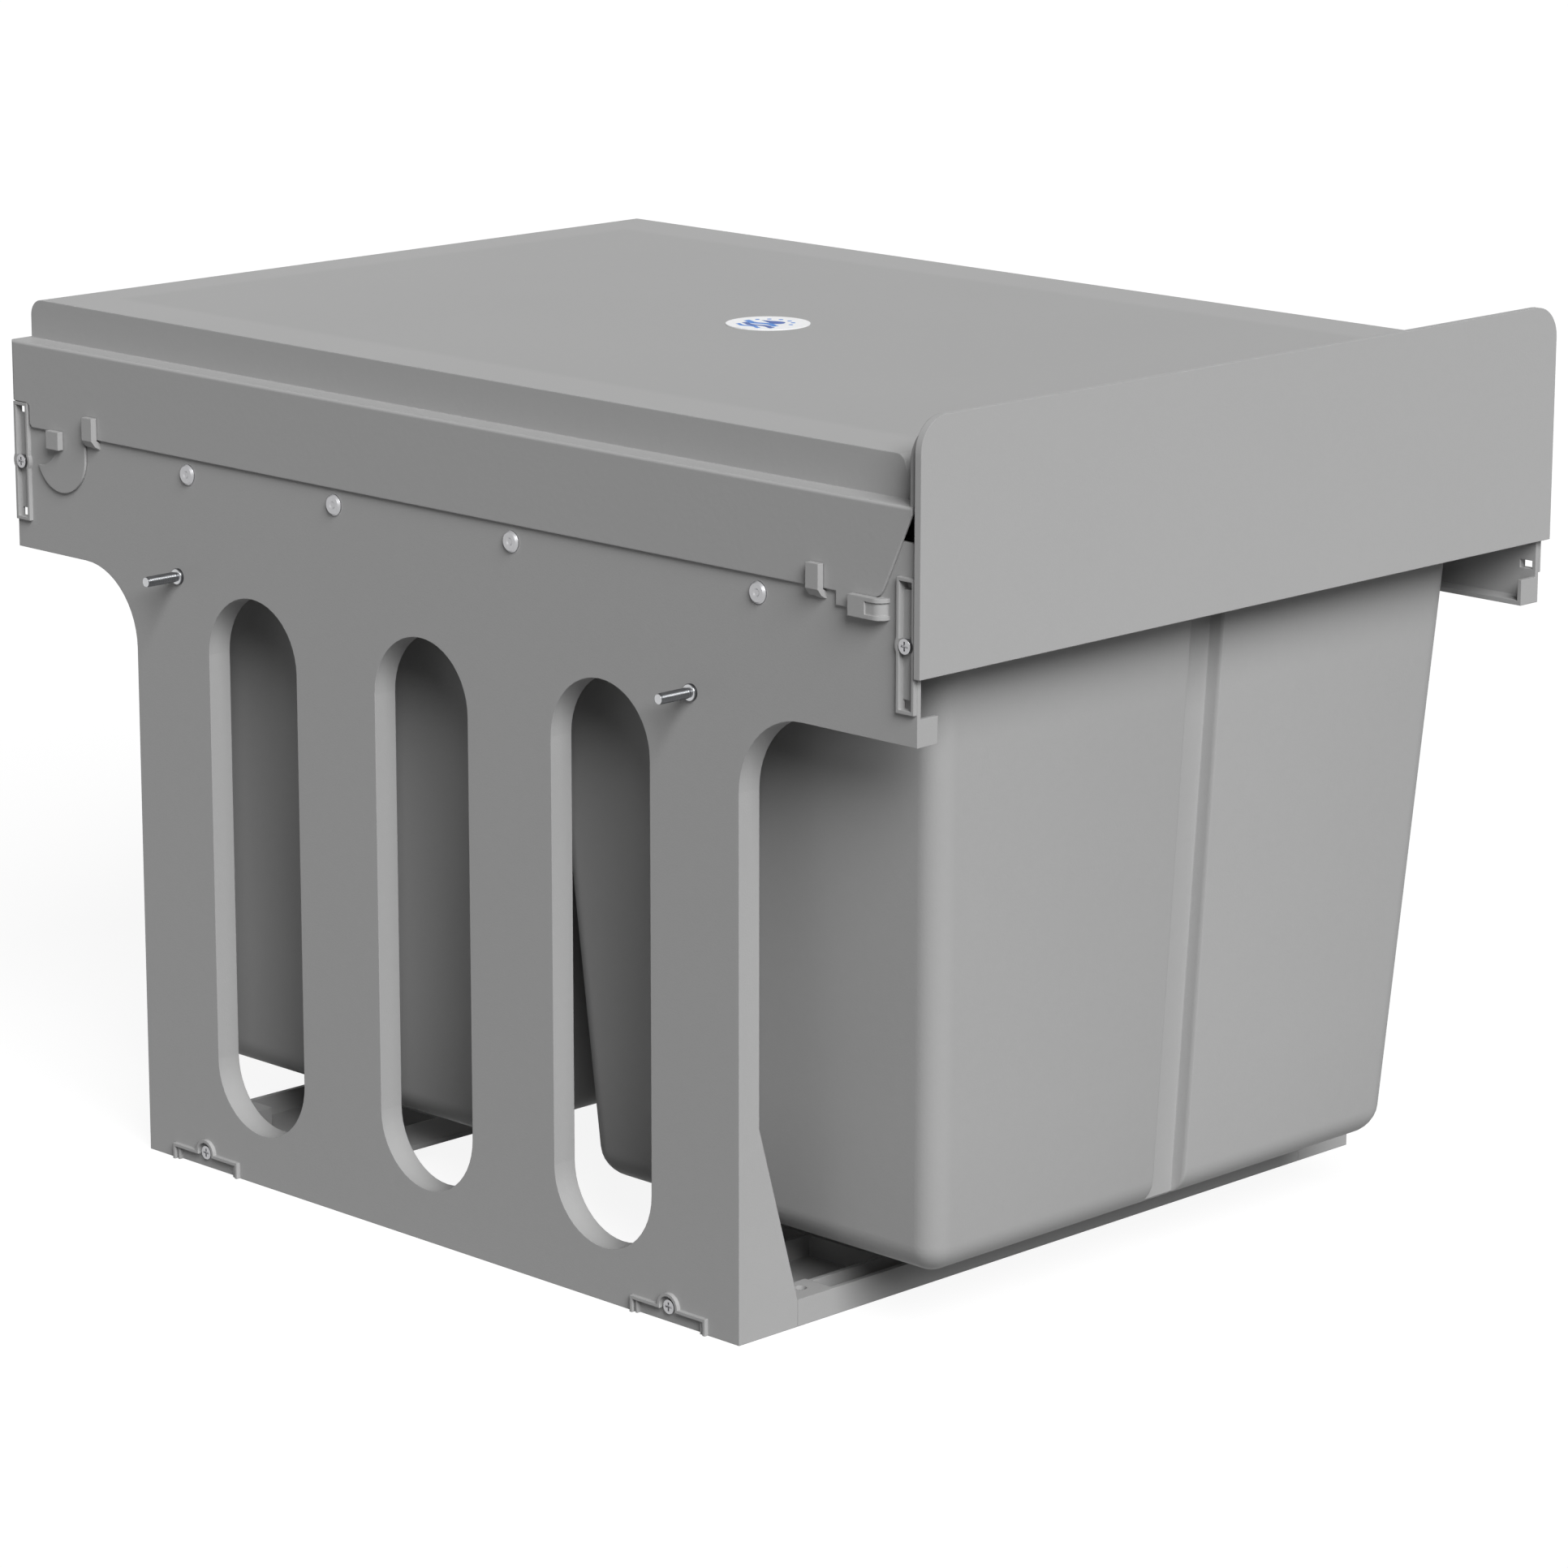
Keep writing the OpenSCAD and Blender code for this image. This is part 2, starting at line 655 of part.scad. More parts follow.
// Base tray: a ring of shallow troughs with cross ribs, pads and screw bosses
tray_x = inner_x - hole_play;
tray_front = foot_front;
tray_rear = foot_rear - side_t - hole_play;
boss_l = 2 * clip_r;
floor_hole_x = tray_x - floor_hole_side;
module tray_outline() {
    // The front wall fills the gap between the two gussets
    gap = outer_x - gusset_w - hole_play;
    rect(-tray_x, tray_x, foot_front + side_t + hole_play, tray_rear);
    rect(-gap, gap, tray_front, tray_rear);
}
module tray_cells() {
    // The hollows between the ribs, open at the top
    hole_x = tray_x - tray_side_w;
    front_end = tray_front + tray_front_l;
    rear_start = tray_rear - tray_rear_l;
    row0 = tray_front + tray_t;
    row1 = tray_front + tray_cell_l + tray_t;
    columns = floor((hole_x + tray_side_w - tray_t) / tray_rib_pitch);
    gap = outer_x - gusset_w - hole_play;
    rect(tray_t - gap, gap - tray_t, row0, row1 - tray_t);
    for (i = [-columns - 1 : columns]) {
        x0 = max(i * tray_rib_pitch + tray_t / 2, tray_t - tray_x);
        x1 = min((i + 1) * tray_rib_pitch - tray_t / 2, tray_x - tray_t);
        if (x1 > x0) {
            rect(x0, x1, row1, front_end - tray_t);
            rect(x0, x1, rear_start + tray_flat_l, tray_rear - tray_t);
        }
    }
    for (side = [-1, 1])
        mirror([side < 0 ? 1 : 0, 0])
            rect(hole_x + tray_t, tray_x - tray_t, front_end, rear_start - tray_t);
}
module base_tray() {
    hole_x = tray_x - tray_side_w;
    front_end = tray_front + tray_front_l;
    rear_start = tray_rear - tray_rear_l;
    color(grey)
        difference() {
            union() {
                difference() {
                    span_z(0, tray_h) tray_outline();
                    span_z(tray_t, tray_h + over) tray_cells();
                    box(-hole_x, hole_x, front_end, rear_start, -over, tray_h + over);
                    box(-hole_x, hole_x, rear_start - over, rear_start + tray_flat_l - tray_t, -over,
                        tray_h - tray_t);
                }
                both_sides() {
                    for (y = [tray_front, tray_rear - pad_l])
                        translate([floor_hole_x, y, 0]) box(-pad_w / 2, pad_w / 2, 0, pad_l, 0, tray_h);
                    for (y = clip_places)
                        box(tray_x - boss_l, tray_x, y - boss_l / 2, y + boss_l / 2, 0, tray_h);
                }
            }
            both_sides() {
                for (y = [tray_front + floor_hole_back, tray_rear - floor_hole_back])
                    translate([floor_hole_x, y, -over]) cylinder(h = tray_h + 2 * over, d = floor_hole_d);
                for (y = clip_places)
                    rod_x(tray_x - screw_l, tray_x + over, y, clip_h, screw_d + 2 * hole_play);
            }
        }
}

// Rails: (u, v) runs inward from the outer rail's back and up from the rails' middle
module rail_section() {
    translate([rail_x, rail_z]) mirror([1, 0]) children();
}
module c_section(web, lip, half, lips) {
    rect(web, web + rail_t, -half, half);
    for (up = [0, 1])
        mirror([0, up]) {
            rect(web, lip, half - rail_t, half);
            rect(lip - rail_t, lip, half - rail_t - lips, half);
        }
}
module outer_rail() {
    difference() {
        span_y(rail_front, rail_front + rail_l) rail_section() c_section(0, outer_reach, rail_h / 2, lip_h);
        for (share = rivet_share)
            rod_x(rail_x - rail_t - over, rail_x + over, rail_front + share * rail_l, rail_z,
                rivet_d + 2 * hole_play);
    }
}
module middle_rail() {
    span_y(rail_front, rail_front + rail_l) rail_section() c_section(middle_web, middle_reach, middle_half, 0);
}
module inner_rail() {
    difference() {
        span_y(rail_front, rail_front + rail_l)
            translate([frame_x, rail_z]) c_section(0, inner_reach, inner_half, 0);
        for (share = frame_rivet_share)
            rod_x(frame_x - over, frame_x + rail_t + over, rail_front + share * rail_l, rail_z,
                rivet_d + 2 * hole_play);
    }
}
// Two flat strips, each holding a row of balls
module ball_cage(u, v) {
    for (up = [-1, 1])
        translate([rail_x - u, rail_mid, rail_z + up * v]) {
            cube([cage_w, cage_l, cage_t], center = true);
            for (i = [0 : ball_count - 1])
                translate([0, cage_l * ((i + 0.5) / ball_count - 0.5), 0])
                    sphere(d = ball_d, $fn = hull_fn);
        }
}
outer_v = rail_h / 2 - rail_t - ball_gap / 2;
inner_v = middle_half - rail_t - ball_gap / 2;
module outer_rail_right() { color(steel) outer_rail(); }
module outer_rail_left() { color(steel) mirror([1, 0, 0]) outer_rail(); }
module middle_rail_right() { color(steel) middle_rail(); }
module middle_rail_left() { color(steel) mirror([1, 0, 0]) middle_rail(); }
module inner_rail_right() { color(steel) inner_rail(); }
module inner_rail_left() { color(steel) mirror([1, 0, 0]) inner_rail(); }
module outer_cage_right() { color(zinc) ball_cage(outer_ball, outer_v); }
module outer_cage_left() { color(zinc) mirror([1, 0, 0]) ball_cage(outer_ball, outer_v); }
module inner_cage_right() { color(zinc) ball_cage(inner_ball, inner_v); }
module inner_cage_left() { color(zinc) mirror([1, 0, 0]) ball_cage(inner_ball, inner_v); }

// Bin frame: a ring of angle bars with a hat bar across the middle
opening_x = seat_half_w + bin_gap;
function bar_edge(y, way) = y + way * (seat_half_l + bin_gap);
module bin_frame() {
    front_edge = bar_edge(front_bin_y, -1);
    bar_front = bar_edge(front_bin_y, 1);
    bar_rear = bar_edge(rear_bin_y, -1);
    rear_edge = bar_edge(rear_bin_y, 1);
    in_x = frame_x - frame_t;
    color(zinc)
        difference() {
            union() {
                difference() {
                    box(-frame_x, frame_x, frame_front, frame_rear, frame_z - frame_t, frame_z);
                    box(-opening_x, opening_x, front_edge, bar_front, frame_low, frame_z + over);
                    box(-opening_x, opening_x, bar_rear, rear_edge, frame_low, frame_z + over);
                }
                both_sides()
                    box(in_x, frame_x, frame_front, frame_rear, frame_low, frame_z);
                box(-in_x, in_x, frame_front, frame_front + frame_t, frame_low, frame_z);
                box(-in_x, in_x, frame_rear - frame_t, frame_rear, frame_low, frame_z);
                box(-in_x, in_x, bar_front, bar_front + frame_t, frame_z - bar_h, frame_z);
                box(-in_x, in_x, bar_rear - frame_t, bar_rear, frame_z - bar_h, frame_z);
            }
            both_sides()
                for (share = frame_rivet_share)
                    rod_x(in_x - over, frame_x + over, rail_front + share * rail_l, rail_z,
                        rivet_d + 2 * hole_play);
            at_panel_screws() rotate([0, 0, 90]) rod_x(-over, frame_t + over, 0, 0, screw_d + 2 * hole_play);
        }
}
panel_screw_z = frame_low + panel_screw_up;
// Four screws evenly spaced across the frame
panel_screw_shares = [-1, -1 / 3, 1 / 3, 1];
module at_panel_screws() {
    for (share = panel_screw_shares)
        translate([share * (frame_x - panel_screw_side), frame_front, panel_screw_z]) children();
}

// Front panel: a flat plate with rounded top corners
module front_panel() {
    half = lid_x + front_lap;
    front_low = side_h - front_drop;
    top = upstand_z + front_up;
    color(grey)
        difference() {
            span_y(back(0), back(front_t)) {
                rect(-half, half, front_low, top - front_corner_r);
                rect(front_corner_r - half, half - front_corner_r, front_low, top);
                for (side = [-1, 1])
                    translate([side * (half - front_corner_r), top - front_corner_r]) circle(front_corner_r);
            }
            at_panel_screws()
                rotate([0, 0, 90]) rod_x(-front_t * 0.75, over, 0, 0, screw_d + 2 * hole_play);
        }
}

// Bins
module bin_hull(inset, extra) {
    r = bin_r - inset;
    hull()
        for (a = [-1, 1])
            for (b = [-1, 1]) {
                translate([a * (bin_low_w / 2 - bin_r), b * (bin_low_l / 2 - bin_r), bin_z + bin_r])
                    sphere(r, $fn = hull_fn);
                translate([a * (bin_top_w / 2 - bin_r), b * (bin_top_l / 2 - bin_r), bin_z + bin_h - over])
                    cylinder(h = over + extra, r = r, $fn = hull_fn);
            }
}
draft = atan((bin_top_l - bin_low_l) / 2 / bin_h);
// A bar laid in the bin's sloping front face, from below its floor to the groove's top
module groove_bar(w, d, top_gap) {
    length = bin_h - top_gap + over;
    translate([0, -bin_low_l / 2, bin_z])
        rotate([draft, 0, 0])
            box(-w / 2, w / 2, -over * 4, d, -over, length);
}
module bin() {
    top = bin_z + bin_h;
    rim_out_w = bin_top_w + 2 * bin_rim_w;
    rim_out_l = bin_top_l + 2 * bin_rim_w;
    color(bin_grey)
        difference() {
            union() {
                bin_hull(0, 0);
                span_z(top - bin_rim_h, top)
                    round_rect(rim_out_w, rim_out_l, bin_r + bin_rim_w);
            }
            difference() {
                bin_hull(bin_t, over);
                groove_bar(groove_w + 2 * bin_t, groove_d + bin_t, groove_top_gap - bin_t);
            }
            groove_bar(groove_w, groove_d, groove_top_gap);
            span_z(top - bin_rim_h - over, top - bin_t)
                difference() {
                    round_rect(rim_out_w - 2 * bin_t, rim_out_l - 2 * bin_t, bin_r + bin_rim_w - bin_t);
                    round_rect(bin_top_w, bin_top_l, bin_r);
                }
        }
}
module front_bin() { translate([0, front_bin_y, 0]) bin(); }
module rear_bin() { translate([0, rear_bin_y, 0]) bin(); }

// Lid: a sheet with a raised middle, a ledge, side skirts and an upright front plate
module dome_side(inset, low) {
    front_c = [dome_front, lid_z - front_r];
    rear_c = [dome_rear - rear_r, lid_z - rear_r];
    r0 = front_r - inset;
    tangent = [front_c[0] - r0 * sin(front_slope), front_c[1] + r0 * cos(front_slope)];
    run = (tangent[1] - low) / tan(front_slope);
    polygon([
        [tangent[0] - run, low], tangent, [front_c[0], lid_z - inset], [rear_c[0], lid_z - inset],
        [dome_rear - inset, rear_c[1]], [dome_rear - inset, low]
    ]);
    translate(front_c) circle(r0);
    translate(rear_c) circle(rear_r - inset);
}
module dome_plan(inset) {
    r = dome_corner_r - inset;
    half = dome_half_w - inset;
    rect(-half, half, dome_foot + dome_corner_r, dome_rear + over);
    rect(r - half, half - r, dome_foot + inset, dome_rear);
    for (side = [-1, 1])
        translate([side * (half - r), dome_foot + dome_corner_r]) circle(r);
}
module dome(inset, low) {
    intersection() {
        span_x(inset - dome_half_w, dome_half_w - inset) dome_side(inset, low);
        span_z(low, lid_z + over) dome_plan(inset);
    }
}
// The skirt beside the side panel, with its tab, its tongue and the step over the rear channel
module skirt_outline() {
    foot = back(skirt_foot_back);
    top_front = foot - (ledge_z - skirt_low) * tan(skirt_slope);
    bend = skirt_r * tan((90 - skirt_slope) / 2);
    step_y = rear_channel_y - channel_w / 2 - rest_gap - lid_t;
    step_z = channel_top + rest_gap;
    tongue_y = before_rear(tongue_in);
    throat_y = before_rear(throat_in);
    tongue_z = skirt_low - tongue_drop;
    difference() {
        union() {
            polygon([
                [foot + bend, skirt_low], [foot - bend * sin(skirt_slope), skirt_low + bend * cos(skirt_slope)],
                [top_front, ledge_z], [lid_rear, ledge_z], [lid_rear, step_z + step_r],
                [lid_rear - step_r, step_z + step_r], [lid_rear - step_r, step_z],
                [step_y + step_r, step_z], [step_y, step_z], [step_y, skirt_low + step_r],
                [step_y - step_r, skirt_low + step_r], [step_y - step_r, skirt_low]
            ]);
            translate([foot + bend, skirt_low + skirt_r]) circle(skirt_r);
            translate([lid_rear - step_r, step_z + step_r]) circle(step_r);
            translate([step_y - step_r, skirt_low + step_r]) circle(step_r);
            difference() {
                rect(step_y - over, step_y + step_r, step_z - step_r, step_z + over);
                translate([step_y + step_r, step_z - step_r]) circle(step_r);
            }
            rect(back(tab_back) - tab_l, back(tab_back), skirt_low - tab_h, skirt_low + over);
            difference() {
                union() {
                    translate([tongue_y, tongue_z]) circle(tongue_r);
                    rect(tongue_y - tongue_r, tongue_y, tongue_z, skirt_low + over);
                }
                translate([throat_y, skirt_low - throat_drop]) circle(throat_r);
                rect(throat_y, step_y + tongue_r, tongue_z - tongue_r + tip_h, skirt_low + over);
                rect(tongue_y, step_y + tongue_r, skirt_low, skirt_low + over);
            }
        }
        rect(foot - tongue_r * 2, upstand_front, skirt_low - over, ledge_z + over);
    }
}
module lid() {
    color(grey)
        difference() {
            intersection() {
                union() {
                    dome(0, trough_z - lid_t);
                    box(-dome_half_w, dome_half_w, upstand_front, lid_rear, trough_z - lid_t, trough_z);
                    both_sides() {
                        span_y(upstand_front, lid_rear) ledge();
                        span_x(skirt_in, lid_x) skirt_outline();
                    }
                    box(-skirt_in, skirt_in, lid_rear - lid_t, lid_rear, apron_low, ledge_z);
                    upstand();
                }
                span_z(0, upstand_z) lid_plan();
            }
            dome(lid_t, trough_z - lid_t - over);
        }
}
// The ledge's section, with the bend into the skirt
module ledge() {
    bend_x = lid_x - ledge_r;
    polygon([
        [dome_half_w - lid_t, trough_z], [bend_x, ledge_z + ledge_r], [bend_x, ledge_z - lid_t],
        [dome_half_w - lid_t, trough_z - lid_t]
    ]);
    translate([bend_x, ledge_z]) circle(ledge_r);
}
module lid_plan() {
    rect(-lid_x, lid_x, upstand_front, lid_rear - lid_corner_r);
    rect(lid_corner_r - lid_x, lid_x - lid_corner_r, upstand_front, lid_rear);
    for (side = [-1, 1])
        translate([side * (lid_x - lid_corner_r), lid_rear - lid_corner_r]) circle(lid_corner_r);
}
// The folded plate that stands behind the front panel
module upstand() {
    half = outer_x;
    span_y(upstand_front, upstand_front + upstand_t) {
        rect(-half, half, ledge_z - lid_t, upstand_z - front_corner_r);
        rect(front_corner_r - half, half - front_corner_r, ledge_z - lid_t, upstand_z);
        for (side = [-1, 1])
            translate([side * (half - front_corner_r), upstand_z - front_corner_r]) circle(front_corner_r);
    }
}
module round_label() {
    color(white) translate([0, -label_fwd, lid_z]) cylinder(h = label_t, d = label_d);
}

// Fasteners
module rivet(grip, head_h) {
    // The head is at the origin, the shank runs along -X and ends in an upset tail
    dimple = rivet_head_d / 5;
    rotate([0, 90, 0])
        rotate_extrude()
            polygon([
                [0, -grip - tail_h], [rivet_d * 0.7, -grip - tail_h], [rivet_d * 0.7, -grip],
                [rivet_d / 2, -grip], [rivet_d / 2, 0], [rivet_head_d / 2, 0],
                [rivet_head_d / 2, head_h * 0.4], [rivet_head_d * 0.4, head_h], [dimple, head_h],
                [dimple * 0.6, head_h * 0.6], [0, head_h * 0.6]
            ]);
}
module rail_rivets() {
    color(zinc)
        both_sides()
            for (share = rivet_share)
                translate([outer_x, rail_front + share * rail_l, rail_z])
                    rivet(outer_x - rail_x + rail_t, rivet_head_h);
}
module frame_rivets() {
    color(zinc)
        both_sides()
            for (share = frame_rivet_share)
                translate([frame_x - frame_t, rail_front + share * rail_l, rail_z])
                    mirror([1, 0, 0]) rivet(frame_t + rail_t, rivet_head_h);
}
module spacer_studs() {
    color(steel)
        both_sides()
            for (y = stud_places) {
                rod_x(inner_x, outer_x + stud_out, y, stud_z, stud_d);
                rod_x(outer_x, outer_x + collar_t, y, stud_z, collar_d);
            }
}
module channel_screws() {
    color(steel)
        both_sides()
            for (y = [front_channel_y, rear_channel_y])
                translate([boss_top, y, channel_z])
                    screw(screw_head_d, screw_head_h, screw_d, boss_top - inner_x);
}
module clip_screws() {
    color(steel)
        both_sides()
            for (y = clip_places)
                translate([outer_x - pocket_d, y, clip_h])
                    screw(screw_head_d, screw_head_h, screw_d, screw_l);
}
module front_panel_screws() {
    color(steel)
        at_panel_screws()
            translate([0, frame_t, 0])
                rotate([0, 0, 90])
                    screw(panel_screw_head_d, screw_head_h, screw_d, frame_t + front_t * 0.7);
}

base_tray();
side_panel_left();
side_panel_right();
outer_rail_left();
outer_rail_right();
middle_rail_left();
middle_rail_right();
inner_rail_left();
inner_rail_right();
outer_cage_left();
outer_cage_right();
inner_cage_left();
inner_cage_right();
bin_frame();
front_panel();
front_bin();
rear_bin();
lid();
round_label();
rail_rivets();
spacer_studs();
channel_screws();
clip_screws();
front_panel_screws();
frame_rivets();
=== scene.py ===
# %% [markdown]
# # A pull out waste bin unit in its studio
#
# The unit stands in a kitchen base cabinet. Two grey side panels press short studs against the
# cabinet's sides. Two ball slides run inside the panels, and a frame with two bins and a front
# panel pulls out on them while a sheet lid stays behind. Every measured solid is already made and
# sits in its place. Here each surface gets its finish, the parts that need finer forms are built as
# meshes, and a camera and lamps are set up as in a product photograph.

# %% Load the measured model on an empty stage
import json
import math

import bmesh
import bpy
from mathutils import Matrix, Vector

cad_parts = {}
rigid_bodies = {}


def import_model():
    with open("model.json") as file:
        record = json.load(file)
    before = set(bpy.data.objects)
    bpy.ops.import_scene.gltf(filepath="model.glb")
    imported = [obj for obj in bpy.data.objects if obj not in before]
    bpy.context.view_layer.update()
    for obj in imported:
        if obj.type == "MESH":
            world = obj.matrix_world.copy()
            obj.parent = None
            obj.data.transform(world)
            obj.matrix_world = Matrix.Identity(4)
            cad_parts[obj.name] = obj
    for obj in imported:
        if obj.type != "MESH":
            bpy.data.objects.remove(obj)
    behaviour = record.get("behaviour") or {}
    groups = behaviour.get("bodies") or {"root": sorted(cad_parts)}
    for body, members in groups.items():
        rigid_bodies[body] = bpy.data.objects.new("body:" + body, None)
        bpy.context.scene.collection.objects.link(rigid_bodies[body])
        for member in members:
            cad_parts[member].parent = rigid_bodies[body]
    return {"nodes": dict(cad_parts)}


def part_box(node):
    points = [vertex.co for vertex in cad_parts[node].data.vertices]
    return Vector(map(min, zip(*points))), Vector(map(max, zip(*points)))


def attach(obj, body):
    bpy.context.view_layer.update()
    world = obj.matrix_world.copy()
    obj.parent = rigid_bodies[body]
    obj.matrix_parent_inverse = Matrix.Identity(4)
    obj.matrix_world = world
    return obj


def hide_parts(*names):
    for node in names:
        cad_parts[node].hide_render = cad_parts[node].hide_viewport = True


for leftover in list(bpy.data.objects):
    bpy.data.objects.remove(leftover)
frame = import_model()
bpy.context.view_layer.update()
solids = frame["nodes"]

# %% [markdown]
# ## The camera
#
# The photograph was taken with a long lens, a little above the lid, from the left front corner.
# A long lens keeps upright edges nearly parallel. The place, the direction and the lens were found
# by fitting straight edges of the real object, so they are written here as plain numbers.
# A camera looks along its own -Z, so the matrix is put together from its right, up and back axes.

# %% Camera at the photograph's viewpoint
MM = 0.001
EYE = Vector((-1496.9, -1499.5, 666.2)) * MM
YAW, PITCH, ROLL = (math.radians(a) for a in (-45.168, 13.758, 0.082))
SENSOR = 36.0
FOCAL_SHARE = 6990.9 / 1932  # focal length over the picture's width, both in pixels

flat_share = math.cos(PITCH)
back_axis = Vector((math.sin(YAW) * flat_share, -math.cos(YAW) * flat_share, math.sin(PITCH)))
level = Vector((math.cos(YAW), math.sin(YAW), 0.0))
rise = back_axis.cross(level)
right_axis = level * math.cos(ROLL) + rise * math.sin(ROLL)
up_axis = rise * math.cos(ROLL) - level * math.sin(ROLL)

lens = bpy.data.cameras.new("product_lens")
lens.sensor_width = SENSOR
lens.lens = SENSOR * FOCAL_SHARE
lens.clip_start, lens.clip_end = 0.05, 60.0
camera = bpy.data.objects.new("product_camera", lens)
turn = Matrix((right_axis, up_axis, back_axis)).transposed().to_4x4()
camera.matrix_world = Matrix.Translation(EYE) @ turn
bpy.context.scene.collection.objects.link(camera)
bpy.context.scene.camera = camera
print("lens in mm:", round(lens.lens, 1))

# %% [markdown]
# ## Colours
#
# A colour picked on a screen is not the amount of light that a surface gives back. The screen value
# follows a curve, and the shader wants the straight amount. This helper takes a grey level as it
# looks, from 0 to 255, and turns it into the shader's number.

# %% Grey levels as they look
def looks_like(red, green=None, blue=None):
    """A colour as it looks on screen, 0 to 255, as the shader's straight values."""
    levels = (red, red if green is None else green, red if blue is None else blue)
    straight = []
    for level_255 in levels:
        v = level_255 / 255
        straight.append(v / 12.92 if v <= 0.04045 else ((v + 0.055) / 1.055) ** 2.4)
    return (*straight, 1.0)


print("mid grey as a shader value:", round(looks_like(170)[0], 3))

# %% [markdown]
# ## Small helpers for node trees
#
# Finishes are painted by nodes, not by pictures, so they have the right scale from any distance.
# `add_node` makes a node and sets its sockets in one line. `start_group` opens a reusable group with
# named inputs and outputs, and `place_group` puts it into a material. `start_finish` opens a
# material with one Principled shader.

# %% Node helpers
def add_node(tree, kind, sockets=None, **settings):
    node = tree.nodes.new(kind)
    for key, value in settings.items():
        setattr(node, key, value)
    for key, value in (sockets or {}).items():
        if isinstance(value, bpy.types.NodeSocket):
            tree.links.new(value, node.inputs[key])
        else:
            node.inputs[key].default_value = value
    return node


def start_group(title, takes, gives):
    group = bpy.data.node_groups.new(title, "ShaderNodeTree")
    for label, kind, value in takes:
        socket = group.interface.new_socket(name=label, in_out="INPUT", socket_type=kind)
        socket.default_value = value
    for label, kind in gives:
        group.interface.new_socket(name=label, in_out="OUTPUT", socket_type=kind)
    return group, group.nodes.new("NodeGroupInput").outputs, group.nodes.new("NodeGroupOutput").inputs


def place_group(tree, group, **sockets):
    node = tree.nodes.new("ShaderNodeGroup")
    node.node_tree = group
    for key, value in sockets.items():
        socket = node.inputs[key.replace("_", " ")]
        if isinstance(value, bpy.types.NodeSocket):
            tree.links.new(value, socket)
        else:
            socket.default_value = value
    return node.outputs


def start_finish(title):
    material = bpy.data.materials.new(title)
    material.use_nodes = True
    tree = material.node_tree
    tree.nodes.clear()
    shader = tree.nodes.new("ShaderNodeBsdfPrincipled")
    surface = tree.nodes.new("ShaderNodeOutputMaterial")
    tree.links.new(shader.outputs["BSDF"], surface.inputs["Surface"])
    return material, tree, shader


FLOAT, COLOUR, VECTOR = "NodeSocketFloat", "NodeSocketColor", "NodeSocketVector"
print("node helpers are ready")

# %% [markdown]
# ## Steps that give a value
#
# All finishes are put together from a few small steps. These give values: arithmetic, noise at the
# object's own place, how far a surface looks along an axis, and a value that is brought into a
# range or turned into a mask. With a short function for each, a finish reads like a recipe.

# %% Helpers: values
def calculate(tree, operation, *numbers, clamp=False):
    """The result of one Math node."""
    sockets = dict(enumerate(numbers))
    return add_node(tree, "ShaderNodeMath", sockets, operation=operation, use_clamp=clamp).outputs[0]


def object_place(tree):
    return add_node(tree, "ShaderNodeTexCoord").outputs["Object"]


def noise(tree, where, scale, detail):
    sockets = {"Vector": where, "Scale": scale, "Detail": detail}
    return add_node(tree, "ShaderNodeTexNoise", sockets).outputs["Fac"]


def plain_normal(tree):
    return add_node(tree, "ShaderNodeNewGeometry").outputs["Normal"]


def normal_along(tree, axis):
    """How far the surface looks along one axis, from -1 to 1."""
    return add_node(tree, "ShaderNodeSeparateXYZ", {0: plain_normal(tree)}).outputs[axis]


def in_range(tree, value, low, high):
    """A value from 0 to 1, stretched to run from low to high."""
    sockets = {"Value": value, "To Min": low, "To Max": high}
    return add_node(tree, "ShaderNodeMapRange", sockets).outputs["Result"]


def soft_step(tree, value, start, end):
    """A mask that climbs from 0 to 1 while the value climbs from start to end."""
    sockets = {"Value": value, "From Min": start, "From Max": end}
    return add_node(tree, "ShaderNodeMapRange", sockets).outputs["Result"]


print("value helpers are ready")

# %% [markdown]
# ## Steps that give a colour or a normal
#
# A worn edge with a painted highlight is a slightly lighter colour that is laid over the finish by a
# mask. Pits and scratches are a height that bends the surface's normal. The last helper joins what
# a finish has worked out to the shader.

# %% Helpers: colours, normals and the shader
def lighter(tone, gain):
    """The tone some screen levels lighter, as the shader's straight values."""
    return looks_like(*(min(255, level + gain) for level in tone))


def lay_over(tree, mask, under, over):
    """One colour laid over another where the mask is 1."""
    sockets = {"Factor": mask, "A": under, "B": over}
    return add_node(tree, "ShaderNodeMix", sockets, data_type="RGBA").outputs["Result"]


def bump(tree, height, strength, step, normal=None):
    """The normal of a surface with this height, whose full step is given in metres."""
    sockets = {"Height": height, "Strength": strength, "Distance": step}
    if normal is not None:
        sockets["Normal"] = normal
    return add_node(tree, "ShaderNodeBump", sockets).outputs["Normal"]


def feed(tree, shader, colour, roughness, normal):
    """Joins a finish's colour, roughness and normal to its shader."""
    for socket, source in (("Base Color", colour), ("Roughness", roughness), ("Normal", normal)):
        tree.links.new(source, shader.inputs[socket])


print("a grey 9 levels above 170:", round(lighter((170, 170, 170), 9)[0], 3))

# %% [markdown]
# ## Moulded grain
#
# The mould of a plastic part is etched so that the part comes out matt. The surface has shallow
# pits of a few tenths of a millimetre on slow waves where the wall cooled unevenly. Two noise
# textures are enough: a fine one for the pits and a wide one for the waves. The group gives a
# height for a Bump node and a tone that the material uses to vary colour and gloss.

